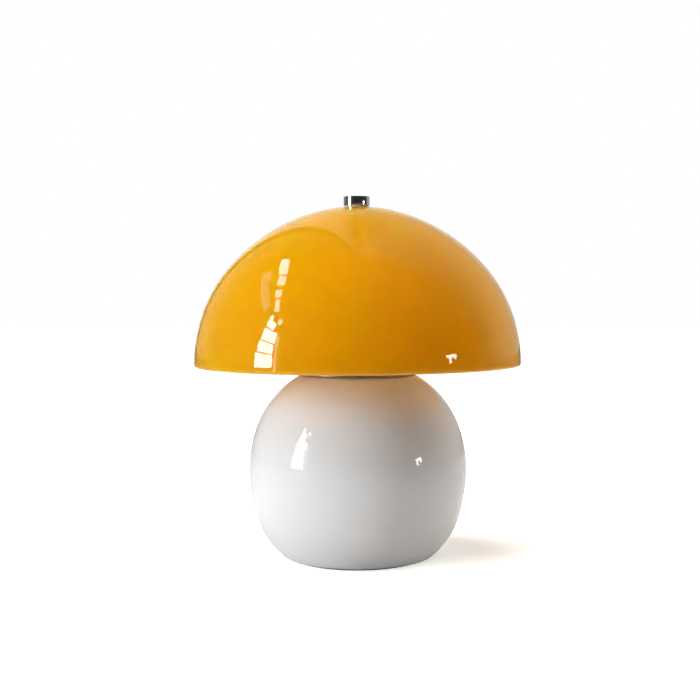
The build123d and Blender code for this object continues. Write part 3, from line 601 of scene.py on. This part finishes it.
turnRing("shadeBush", "shade_bush", 5.45, 3.55, 0.3, clearSilicone, "shade", "clear_silicone")
turnRing("seatRing", "seat_ring", 10.5, 3.15, 0.7, clearSilicone, "lamp", "clear_silicone")
turnRing("seatWasher", "seat_washer", 11.5, 3.15, 0.25, zincPlate, "lamp", "zinc_steel")
turnRing("footPad", "foot_pad", 48.5, 0.0005, 0.45, footFoam, "lamp", "foam_rubber")
turnRing("capGasket", "cap_gasket", 40.5, 34.06, 0.4, clearSilicone, "lamp", "clear_silicone")
print("rings made")

# Neck cap: spun sheet with a rounded shoulder, a brim and two screw holes
capShape = {"radius": 45.0, "sheet": 1.2, "round": 2.2, "hole": 14.05, "screwX": 26.13, "screwHole": 2.1}


def buildCap(shape):
    low, high = lowOf("neck_cap"), highOf("neck_cap")
    r, sheet, hole = shape["radius"] * mm, shape["sheet"] * mm, shape["hole"] * mm
    bead = sheet * 0.45
    cap = turnPiece("neckCap", rounded([
        (hole, high, bead), (r, high, shape["round"] * mm), (r, low, bead), (r - sheet, low, bead),
        (r - sheet, high - sheet, shape["round"] * mm - sheet), (hole, high - sheet, bead),
    ]), 144)
    for side in (-1, 1):
        cutWith(cap, peg("screwHole", shape["screwHole"] * mm, low, high + mm, (side * shape["screwX"] * mm, 0)))
    return cap


# the neck cap's chrome is dark brown, painted shade and painted reflection of the amber inside under the rim
dress(buildCap(capShape), paintedShadeChrome, "lamp", "chrome", "neck_cap")

# Ring nuts that clamp the lampholder, with finger notches
ringShape = {"radius": 19.0, "bore": 13.95, "height": 4.0, "notches": 12, "notchR": 1.4, "notchOut": 0.4, "bevel": 0.5}


def buildRings(shape):
    high = highOf("ring_nuts")
    low = high - shape["height"] * mm
    r, bore, bevel = shape["radius"] * mm, shape["bore"] * mm, shape["bevel"] * mm
    ring = turnPiece("ringNut", rounded([(r, low, bevel), (r, high, bevel), (bore, high, bevel), (bore, low, bevel)], steps=3), 96)
    for step in range(shape["notches"]):
        angle = math.tau * step / shape["notches"]
        reach = r + shape["notchOut"] * mm
        spot = (reach * math.cos(angle), reach * math.sin(angle))
        cutWith(ring, peg("notch", shape["notchR"] * mm, low - mm, high + mm, spot, 24))
    return copyTo(ring, [(0, 0, lowOf("ring_nuts") - low)], "ringNuts")


dress(buildRings(ringShape), whitePlastic, "lamp", "white_plastic", "ring_nuts")

# Lampholder skirt: moulded, threaded outside for the ring nuts
skirtShape = {"radius": 13.9, "root": 13.35, "pitch": 2.0, "bore": 12.1, "mouth": 10.8, "lip": 5.8, "collar": 2.6}


def buildSkirt(shape):
    low, high = lowOf("holder_skirt"), highOf("holder_skirt")
    r, mouth = shape["radius"] * mm, shape["mouth"] * mm
    skirt = threadRod("holderSkirt", shape["root"] * mm, r, shape["pitch"] * mm, low, high - shape["collar"] * mm, 0.2, 64)
    collar = turnPiece("skirtCollar", rounded([
        (0, high - shape["collar"] * mm - 0.2 * mm, 0), (r, high - shape["collar"] * mm - 0.2 * mm, 0), (r, high, 0.9 * mm), (0, high, 0),
    ]), 96)
    cutWith(skirt, collar, "UNION")
    bore = turnPiece("skirtBore", rounded([
        (0, low - mm, 0), (shape["bore"] * mm, low - mm, 0), (shape["bore"] * mm, high - shape["lip"] * mm, 0),
        (mouth, high - shape["lip"] * mm, 0), (mouth, high - 0.9 * mm, 0.4 * mm), (mouth + mm, high + 0.1 * mm, 0), (0, high + 0.1 * mm, 0),
    ]), 96)
    return cutWith(skirt, bore)


dress(buildSkirt(skirtShape), whitePlastic, "lamp", "white_plastic", "holder_skirt")
print("neck made")

# Hoop: one strip of plated steel bent round the bulb, its feet turned in
hoopShape = {
    "width": 12.0, "sheet": 1.5, "footX": 26.13, "legX": 33.73, "toe": 5.0, "bend": 3.5, "shoulder": 20.0,
    "edge": 0.35, "screwHole": 2.1, "studHole": 3.15,
}


def buildHoop(shape):
    s = {key: value * mm for key, value in shape.items()}
    low, high, t = lowOf("hoop_bracket"), highOf("hoop_bracket"), shape["sheet"] * mm
    toe, leg = s["footX"] - s["toe"], s["legX"]
    outer = [(toe, low, 0), (leg, low, s["bend"]), (leg, high, s["shoulder"]), (-leg, high, s["shoulder"]),
             (-leg, low, s["bend"]), (-toe, low, 0)]
    inner = [(-toe, low + t, 0), (-leg + t, low + t, s["bend"] - t), (-leg + t, high - t, s["shoulder"] - t),
             (leg - t, high - t, s["shoulder"] - t), (leg - t, low + t, s["bend"] - t), (toe, low + t, 0)]
    hoop = drawOutline("hoopStrip", rounded(outer + inner, steps=12))
    bpy.ops.transform.translate(value=(0, -s["width"] / 2, 0))
    bpy.ops.mesh.edge_face_add()
    bpy.ops.mesh.extrude_region_move(TRANSFORM_OT_translate={"value": (0, s["width"], 0)})
    closeUp(hoop)
    useModifier(hoop, "BEVEL", width=s["edge"], segments=3, limit_method="ANGLE", angle_limit=math.radians(50))
    for side in (-1, 1):
        cutWith(hoop, peg("footHole", s["screwHole"], low - mm, low + 2 * t, (side * s["footX"], 0)))
    return cutWith(hoop, peg("studHole", s["studHole"], high - 2 * t, high + mm))


dress(buildHoop(hoopShape), spunChrome, "lamp", "chrome", "hoop_bracket")

# Screws and nuts of the hoop's feet
screwShape = {"x": 26.13, "shank": 1.95, "head": 3.8, "headHigh": 2.4, "cross": 3.8, "crossWide": 0.76, "crossDeep": 1.2}


def buildScrews(shape):
    low, high = lowOf("hoop_screws"), highOf("hoop_screws")
    seat = high - shape["headHigh"] * mm
    head = turnPiece("footScrew", rounded([
        (0, seat, 0), (shape["head"] * mm, seat, 0.25 * mm), (shape["head"] * mm, high, 1.3 * mm), (0, high, 0),
    ]), 64)
    for wide, deep in ((shape["cross"], shape["crossWide"]), (shape["crossWide"], shape["cross"])):
        deselectAll()
        bpy.ops.mesh.primitive_cube_add(size=1, location=(0, 0, high))
        bpy.ops.transform.resize(value=(wide * mm, deep * mm, 2 * shape["crossDeep"] * mm))
        bpy.ops.object.transform_apply(location=True, rotation=True, scale=True)
        cutWith(head, bpy.context.object)
    shank = threadRod("shank", shape["shank"] * mm * 0.84, shape["shank"] * mm, 0.7 * mm, low, seat + 0.2 * mm, 0.12, 24)
    cutWith(head, shank, "UNION")
    pick(head)
    bpy.ops.transform.translate(value=(shape["x"] * mm, 0, 0))
    bpy.ops.object.transform_apply(location=True, rotation=True, scale=True)
    return copyTo(head, [(-2 * shape["x"] * mm, 0, 0)], "hoopScrews")


dress(buildScrews(screwShape), polishedChrome, "lamp", "chrome", "hoop_screws")


def buildNutPair(name, node, flats, bore, height, spots):
    # one nut at the first place and a copy at the second
    low = lowOf(node)
    nut = hexNut(name, flats * mm, bore * mm, low, low + height * mm)
    pick(nut)
    bpy.ops.transform.translate(value=spots[0])
    bpy.ops.object.transform_apply(location=True, rotation=True, scale=True)
    return copyTo(nut, [Vector(spot) - Vector(spots[0]) for spot in spots[1:]], name)


footSpots = [(screwShape["x"] * mm, 0, 0), (-screwShape["x"] * mm, 0, 0)]
dress(buildNutPair("hoopNuts", "hoop_nuts", 7.0, 2.0, 3.2, footSpots), zincPlate, "lamp", "zinc_steel", "hoop_nuts")
upperNut = (0, 0, highOf("stud_nuts") - lowOf("stud_nuts") - 3.2 * mm)
dress(buildNutPair("studNuts", "stud_nuts", 10.0, 3.05, 3.2, [(0, 0, 0), upperNut]), zincPlate, "lamp", "zinc_steel", "stud_nuts")
dress(buildNutPair("baseNut", "base_nut", 14.0, 5.05, 3.0, [(0, 0, 0)]), zincPlate, "lamp", "zinc_steel", "base_nut")

# Stud and central tube, each with its real thread
studShape = {"radius": 3.0, "root": 2.5, "pitch": 1.0, "bevel": 0.5}


def buildStud(shape):
    low, high = lowOf("shade_stud"), highOf("shade_stud")
    stud = threadRod("shadeStud", shape["root"] * mm, shape["radius"] * mm, shape["pitch"] * mm, low, high, 0.12, 36)
    r, bevel = shape["radius"] * mm, shape["bevel"] * mm
    ends = turnPiece("studEnds", [(0, low), (r - bevel, low), (r + bevel, low + 2 * bevel), (r + bevel, high - 2 * bevel),
                                  (r - bevel, high), (0, high)], 36)
    return cutWith(stud, ends, "INTERSECT")


dress(buildStud(studShape), zincPlate, "lamp", "zinc_steel", "shade_stud")

tubeShape = {"radius": 5.0, "root": 4.45, "pitch": 1.0, "bore": 3.9, "slotWide": 6.0, "slotHigh": 16.0, "slotAt": 45.0}


def buildTube(shape):
    low, high = lowOf("threaded_tube"), highOf("threaded_tube")
    tube = threadRod("threadedTube", shape["root"] * mm, shape["radius"] * mm, shape["pitch"] * mm, low, high, 0.12, 36)
    cutWith(tube, peg("tubeBore", shape["bore"] * mm, low - mm, high + mm))
    half = shape["slotWide"] / 2 * mm
    reach = (shape["slotHigh"] / 2) * mm - half
    slot = drawOutline("tubeSlot", rounded([
        (half, shape["slotAt"] * mm - reach - half, half * 0.98), (half, shape["slotAt"] * mm + reach + half, half * 0.98),
        (-half, shape["slotAt"] * mm + reach + half, half * 0.98), (-half, shape["slotAt"] * mm - reach - half, half * 0.98),
    ], steps=8))
    bpy.ops.mesh.edge_face_add()
    bpy.ops.mesh.extrude_region_move(TRANSFORM_OT_translate={"value": (0, -2 * shape["radius"] * mm, 0)})
    closeUp(slot)
    return cutWith(tube, slot)


dress(buildTube(tubeShape), zincPlate, "lamp", "zinc_steel", "threaded_tube")
print("hoop, stud and tube made")

# Bulb: solder tip, glass insulator, rolled screw cap, collar and envelope
bulbShape = {
    "radius": 22.5, "wall": 1.0, "collarR": 19.34, "collarFoot": 7.6, "collarWaist": 9.2, "collarWall": 1.4,
    "capR": 6.95, "capRoot": 6.2, "pitch": 2.82, "capWall": 0.6, "tipR": 2.4, "waistUp": 1.0,
}


def smoothLine(points, steps):
    # a soft curve through the given points
    line = []
    padded = [points[0]] + points + [points[-1]]
    for a, b, c, d in zip(padded, padded[1:], padded[2:], padded[3:]):
        for step in range(steps):
            t = step / steps
            line.append(tuple(
                0.5 * (2 * q + (r - p) * t + (2 * p - 5 * q + 4 * r - s) * t * t + (3 * q - p - 3 * r + s) * t ** 3)
                for p, q, r, s in zip(a, b, c, d)
            ))
    return line + [points[-1]]


def buildBulb(shape):
    s = {key: value * mm for key, value in shape.items()}
    top = highOf("bulb_glass")
    centre = top - s["radius"]
    opening = math.degrees(math.acos(s["collarR"] / s["radius"]))
    envelope = turnPiece(
        "bulbEnvelope",
        arc((0, centre), s["radius"], -opening, 90, 40) + arc((0, centre), s["radius"] - s["wall"], 90, -opening, 40),
        128,
    )
    dress(envelope, opalDiffuser, "bulb", "bulb_diffuser", "bulb_glass")

    low, high = lowOf("bulb_collar"), highOf("bulb_collar")
    seat = highOf("bulb_cap")
    waist = highOf("holder_skirt") + s["waistUp"]
    outer = smoothLine([(s["collarFoot"], seat), (s["collarWaist"], waist), (s["collarWaist"] + (s["collarR"] - s["collarWaist"]) * 0.52,
                        waist + (high - waist) * 0.5), (s["collarR"], high)], 8)
    inner = [(r - s["collarWall"], z) for r, z in outer]
    plug = s["capR"] - 2 * s["capWall"] - 0.05 * mm
    collar = turnPiece(
        "bulbCollar",
        outer + inner[::-1] + [(plug - s["collarWall"], seat), (plug - s["collarWall"], low), (plug, low), (plug, seat)],
        128,
    )
    dress(collar, whitePlastic, "bulb", "white_plastic", "bulb_collar")

    low, high = lowOf("bulb_cap"), highOf("bulb_cap")
    shell = threadRod("bulbCap", s["capRoot"], s["capR"], s["pitch"], low, high, 0.22, 56)
    bore = turnPiece("capBore", [(0, low + s["capWall"]), (s["capRoot"] - s["capWall"], low + s["capWall"]),
                                 (s["capRoot"] - s["capWall"], high + mm), (0, high + mm)], 64)
    cutWith(shell, bore)
    dress(shell, nickelPlate, "bulb", "nickel", "bulb_cap")

    low, high = lowOf("bulb_insulator"), highOf("bulb_insulator")
    rim = s["capR"] - 2 * s["capWall"]
    insulator = turnPiece("bulbInsulator", [(0, low), (s["tipR"], low)] + [
        (s["tipR"] + (rim - s["tipR"]) * math.sin(math.pi / 2 * k / 6), low + (high - low) * (1 - math.cos(math.pi / 2 * k / 6)))
        for k in range(1, 7)] + [(0, high)], 64)
    dress(insulator, blackPlastic, "bulb", "black_plastic", "bulb_insulator")

    low, high = lowOf("bulb_contact"), highOf("bulb_contact")
    contact = turnPiece("bulbContact", [(0, high), (s["tipR"], high)] + [
        (s["tipR"] * math.cos(math.pi / 2 * k / 6), high - (high - low) * (0.3 + 0.7 * math.sin(math.pi / 2 * k / 6)))
        for k in range(0, 6)] + [(0, low)], 40)
    dress(contact, softSolder, "bulb", "solder", "bulb_contact")


buildBulb(bulbShape)
print("bulb made")

# CAD nodes whose shape is right keep it and take a finish
carried = {
    "cord_grommet": blackRubber, "plate_gasket": blackRubber, "base_plate": zincPlate, "base_washer": zincPlate,
    "terminal_block": whitePlastic, "terminal_inserts": brightBrass, "terminal_screws": zincPlate,
    "block_screw": zincPlate, "wire_live": brownInsulation, "wire_neutral": blueInsulation,
    "holder_dome": whitePlastic, "holder_insert": creamCeramic, "centre_contact": brightBrass,
    "shell_contact": brightBrass, "lug_screws": zincPlate,
}
for node, finish in carried.items():
    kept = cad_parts[node]
    kept.data.materials.clear()
    kept.data.materials.append(finish)
print("carried nodes finished:", len(carried))

# Studio: a pale floor that glows a little for the camera and for reflections, least where the lamp's shadow falls
floorLook = {
    "size": 12.0, "colour": (0.93, 0.92, 0.91), "farColour": (0.66, 0.65, 0.64), "paleTo": (0.15, 0.50), "glowColour": (1.0, 0.975, 0.945),
    "nearGlow": 0.08, "farGlow": 0.0, "near": 0.35, "far": 1.20, "nearWhite": 0.74, "farWhite": 1.1,
    "shadowAt": (0.080, 0.040), "shadowReach": (0.145, 0.10), "shadowDim": 0.30, "shadowFrom": 0.15, "shadowTo": 1.05,
}
deselectAll()
bpy.ops.mesh.primitive_grid_add(x_subdivisions=8, y_subdivisions=8, size=floorLook["size"])
studioFloor = bpy.context.object
studioFloor.name = "studioFloor"
floorPaint = bpy.data.materials.new("floorPaint")
floorPaint.use_nodes = True
floorShader = floorPaint.node_tree.nodes["Principled BSDF"]
floorShader.inputs["Roughness"].default_value = 0.85
floorShader.inputs["Specular IOR Level"].default_value = 0.15
floorShader.inputs["Emission Color"].default_value = (*floorLook["glowColour"], 1)
rays = addNode(floorPaint, "LightPath")
seen = addNode(floorPaint, "Math", operation="MAXIMUM")
seenAll = addNode(floorPaint, "Math", operation="MAXIMUM")
join(floorPaint, rays.outputs["Is Camera Ray"], seen.inputs[0])
join(floorPaint, rays.outputs["Is Glossy Ray"], seen.inputs[1])
join(floorPaint, seen.outputs[0], seenAll.inputs[0])
join(floorPaint, rays.outputs["Is Transmission Ray"], seenAll.inputs[1])
floorPlace = addNode(floorPaint, "TexCoord")
reach = addNode(floorPaint, "VectorMath", operation="LENGTH")
join(floorPaint, floorPlace.outputs["Object"], reach.inputs[0])
pale = addNode(floorPaint, "MapRange", interpolation_type="SMOOTHSTEP")
pale.inputs["From Min"].default_value, pale.inputs["From Max"].default_value = floorLook["paleTo"]
join(floorPaint, reach.outputs["Value"], pale.inputs["Value"])
floorTone = addNode(floorPaint, "Mix", data_type="RGBA")
floorTone.inputs[6].default_value = (*floorLook["colour"], 1)
floorTone.inputs[7].default_value = (*floorLook["farColour"], 1)
join(floorPaint, pale.outputs["Result"], floorTone.inputs[0])
join(floorPaint, floorTone.outputs[2], floorShader.inputs["Base Color"])
glow = addNode(floorPaint, "MapRange", interpolation_type="SMOOTHSTEP")
for key, value in (("From Min", "near"), ("From Max", "far"), ("To Min", "nearGlow"), ("To Max", "farGlow")):
    glow.inputs[key].default_value = floorLook[value]
join(floorPaint, reach.outputs["Value"], glow.inputs["Value"])
shadowPlace = addNode(floorPaint, "Mapping", vector_type="TEXTURE")
shadowPlace.inputs["Location"].default_value = (*floorLook["shadowAt"], 0)
shadowPlace.inputs["Scale"].default_value = (*floorLook["shadowReach"], 1)
join(floorPaint, floorPlace.outputs["Object"], shadowPlace.inputs["Vector"])
shadowReach = addNode(floorPaint, "VectorMath", operation="LENGTH")
join(floorPaint, shadowPlace.outputs["Vector"], shadowReach.inputs[0])
shadow = addNode(floorPaint, "MapRange", interpolation_type="SMOOTHSTEP")
for key, value in (("From Min", "shadowFrom"), ("From Max", "shadowTo"), ("To Min", "shadowDim")):
    shadow.inputs[key].default_value = floorLook[value]
join(floorPaint, shadowReach.outputs["Value"], shadow.inputs["Value"])
glowSeen = addNode(floorPaint, "Math", operation="MULTIPLY")
join(floorPaint, glow.outputs["Result"], glowSeen.inputs[0])
join(floorPaint, seenAll.outputs[0], glowSeen.inputs[1])
farWhite = addNode(floorPaint, "MapRange", interpolation_type="SMOOTHSTEP")
for key, value in (("From Min", "near"), ("From Max", "far"), ("To Min", "nearWhite"), ("To Max", "farWhite")):
    farWhite.inputs[key].default_value = floorLook[value]
join(floorPaint, reach.outputs["Value"], farWhite.inputs["Value"])
farSeen = addNode(floorPaint, "Math", operation="MULTIPLY_ADD")
join(floorPaint, farWhite.outputs["Result"], farSeen.inputs[0])
join(floorPaint, rays.outputs["Is Camera Ray"], farSeen.inputs[1])
join(floorPaint, glowSeen.outputs[0], farSeen.inputs[2])
shaded = addNode(floorPaint, "Math", operation="MULTIPLY")
join(floorPaint, farSeen.outputs[0], shaded.inputs[0])
join(floorPaint, shadow.outputs["Result"], shaded.inputs[1])
join(floorPaint, shaded.outputs[0], floorShader.inputs["Emission Strength"])
studioFloor.data.materials.append(floorPaint)


def addPane(place, tall, wide, bright, colour, mirrored):
    # a rectangular lamp whose surface is as bright as asked, seen in reflections only where mirrored
    deselectAll()
    bpy.ops.object.light_add(type="AREA")
    pane = bpy.context.object
    pane.matrix_world = place
    pane.data.shape = "RECTANGLE"
    pane.data.size, pane.data.size_y = tall, wide
    pane.data.energy = bright * math.pi * tall * wide
    pane.data.color = colour
    pane.visible_camera = False
    pane.visible_glossy = mirrored
    return pane


# Window panes on the wall at the left and a far one at the right: y and z of the middle, length, width, lean, brightness
walls = (
    {"x": -1.6, "colour": (0.975, 0.99, 1.0), "panes": [
        (-0.745, 0.235, 0.252, 0.46, 0, 22), (-0.765, 0.49, 0.208, 0.41, 0, 22), (-0.80, 0.745, 0.246, 0.40, 0, 22),
        (-0.75, 0.985, 0.18, 0.24, 10, 22), (-0.68, 1.14, 0.11, 0.10, 10, 18), (-0.96, 1.15, 0.14, 0.12, -30, 11),
        (-0.62, 1.48, 0.36, 0.15, -33, 10), (-0.395, 1.77, 0.265, 0.21, -44, 10), (-0.08, 2.14, 0.41, 0.30, -43, 10),
        (0.46, 2.54, 0.82, 0.38, -58, 10), (-1.06, 0.42, 0.80, 0.09, 0, 4.5), (-0.10, 1.45, 0.76, 0.24, -54, 1.6),
        (0.43, 1.83, 0.46, 0.34, -58, 1.3),
    ]},
    {"x": 1.6, "colour": (1.0, 0.95, 0.88), "panes": [
        (-0.765, 0.315, 0.05, 0.27, 0, 22), (-0.80, 0.23, 0.12, 0.07, 0, 22), (-0.67, 0.26, 0.06, 0.06, 0, 22),
    ]},
)
for wall in walls:
    facing = Matrix.Rotation(math.radians(90 if wall["x"] > 0 else -90), 4, "Y")
    for y, z, tall, wide, lean, bright in wall["panes"]:
        place = Matrix.Translation((wall["x"], y, z)) @ Matrix.Rotation(math.radians(lean), 4, "X") @ facing
        addPane(place, tall, wide, bright, wall["colour"], True)

# Soft lamps round the lamp, which no reflection shows: heading and height in degrees, brightness, colour
softLamps = {"away": 1.5, "aim": 0.12, "size": 0.7, "lamps": [
    (-60, 8, 2.1, (1.0, 0.98, 0.95)), (120, 8, 5.6, (1.0, 0.94, 0.86)), (45, 60, 0.7, (1.0, 0.98, 0.95)),
    (180, 45, 2.2, (1.0, 0.98, 0.95)), (0, 85, 9.4, (1.0, 0.98, 0.95)),
]}
for turn, rise, bright, colour in softLamps["lamps"]:
    turn, rise = math.radians(turn), math.radians(rise)
    away = Vector((math.sin(turn) * math.cos(rise), -math.cos(turn) * math.cos(rise), math.sin(rise)))
    aim = Matrix.Translation(away * softLamps["away"] + Vector((0, 0, softLamps["aim"])))
    aim = aim @ away.to_track_quat("Z", "Y").to_matrix().to_4x4()
    addPane(aim, softLamps["size"], softLamps["size"], bright, colour, False)

# Room: headings in degrees from straight behind the lamp round by the left, brightness low down, brightness high up
roomLook = {
    "headings": [
        (0, 0.85, 0.05), (10, 0.85, 0.50), (18, 0.85, 0.55), (19, 0.02, 0.02), (25, 0.02, 0.02), (26.5, 0.45, 0.12),
        (40, 0.36, 0.06), (60, 0.14, 0.02), (120, 0.14, 0.02), (150, 0.03, 0.02), (260, 0.03, 0.10), (270, 0.05, 0.20),
        (300, 0.46, 0.44), (335, 0.46, 0.38),
    ],
    "lowTop": 0.25, "highFrom": 0.75, "colour": (1.0, 0.965, 0.92),
}


def roomRing(which, across):
    # one ring of the room's brightness, smooth from heading to heading
    ring = addNode(room, "ValToRGB")
    ramp = ring.color_ramp
    ramp.interpolation = "LINEAR"
    for turn, *levels in roomLook["headings"]:
        stop = ramp.elements.new(turn / 360) if turn else ramp.elements[0]
        stop.color = tuple(levels[which] * part for part in roomLook["colour"]) + (1,)
    ramp.elements[-1].color = ramp.elements[0].color
    join(room, across, ring.inputs["Fac"])
    return ring


room = bpy.data.worlds.new("studioRoom")
scene.world = room
room.use_nodes = True
roomPaper = room.node_tree.nodes["Background"]
heading = addNode(room, "TexCoord")
parts = addNode(room, "SeparateXYZ")
join(room, heading.outputs["Generated"], parts.inputs[0])
turnNode = addNode(room, "Math", operation="ARCTAN2")
join(room, parts.outputs["X"], turnNode.inputs[0])
frontward = addNode(room, "Math", operation="MULTIPLY")
frontward.inputs[1].default_value = -1
join(room, parts.outputs["Y"], frontward.inputs[0])
join(room, frontward.outputs[0], turnNode.inputs[1])
around = addNode(room, "MapRange")
around.inputs["From Min"].default_value = -math.pi
around.inputs["From Max"].default_value = math.pi
join(room, turnNode.outputs[0], around.inputs["Value"])
upward = addNode(room, "MapRange")
upward.inputs["From Min"].default_value = roomLook["lowTop"]
upward.inputs["From Max"].default_value = roomLook["highFrom"]
join(room, parts.outputs["Z"], upward.inputs["Value"])
lowRing = roomRing(0, around.outputs["Result"])
highRing = roomRing(1, around.outputs["Result"])
roomMix = addNode(room, "Mix", data_type="RGBA")
join(room, upward.outputs["Result"], roomMix.inputs[0])
join(room, lowRing.outputs["Color"], roomMix.inputs[6])
join(room, highRing.outputs["Color"], roomMix.inputs[7])
roomRays = addNode(room, "LightPath")
whiteMix = addNode(room, "Mix", data_type="RGBA")
whiteMix.inputs[7].default_value = (1, 1, 1, 1)
join(room, roomRays.outputs["Is Camera Ray"], whiteMix.inputs[0])
join(room, roomMix.outputs[2], whiteMix.inputs[6])
join(room, whiteMix.outputs[2], roomPaper.inputs["Color"])
print("studio made")
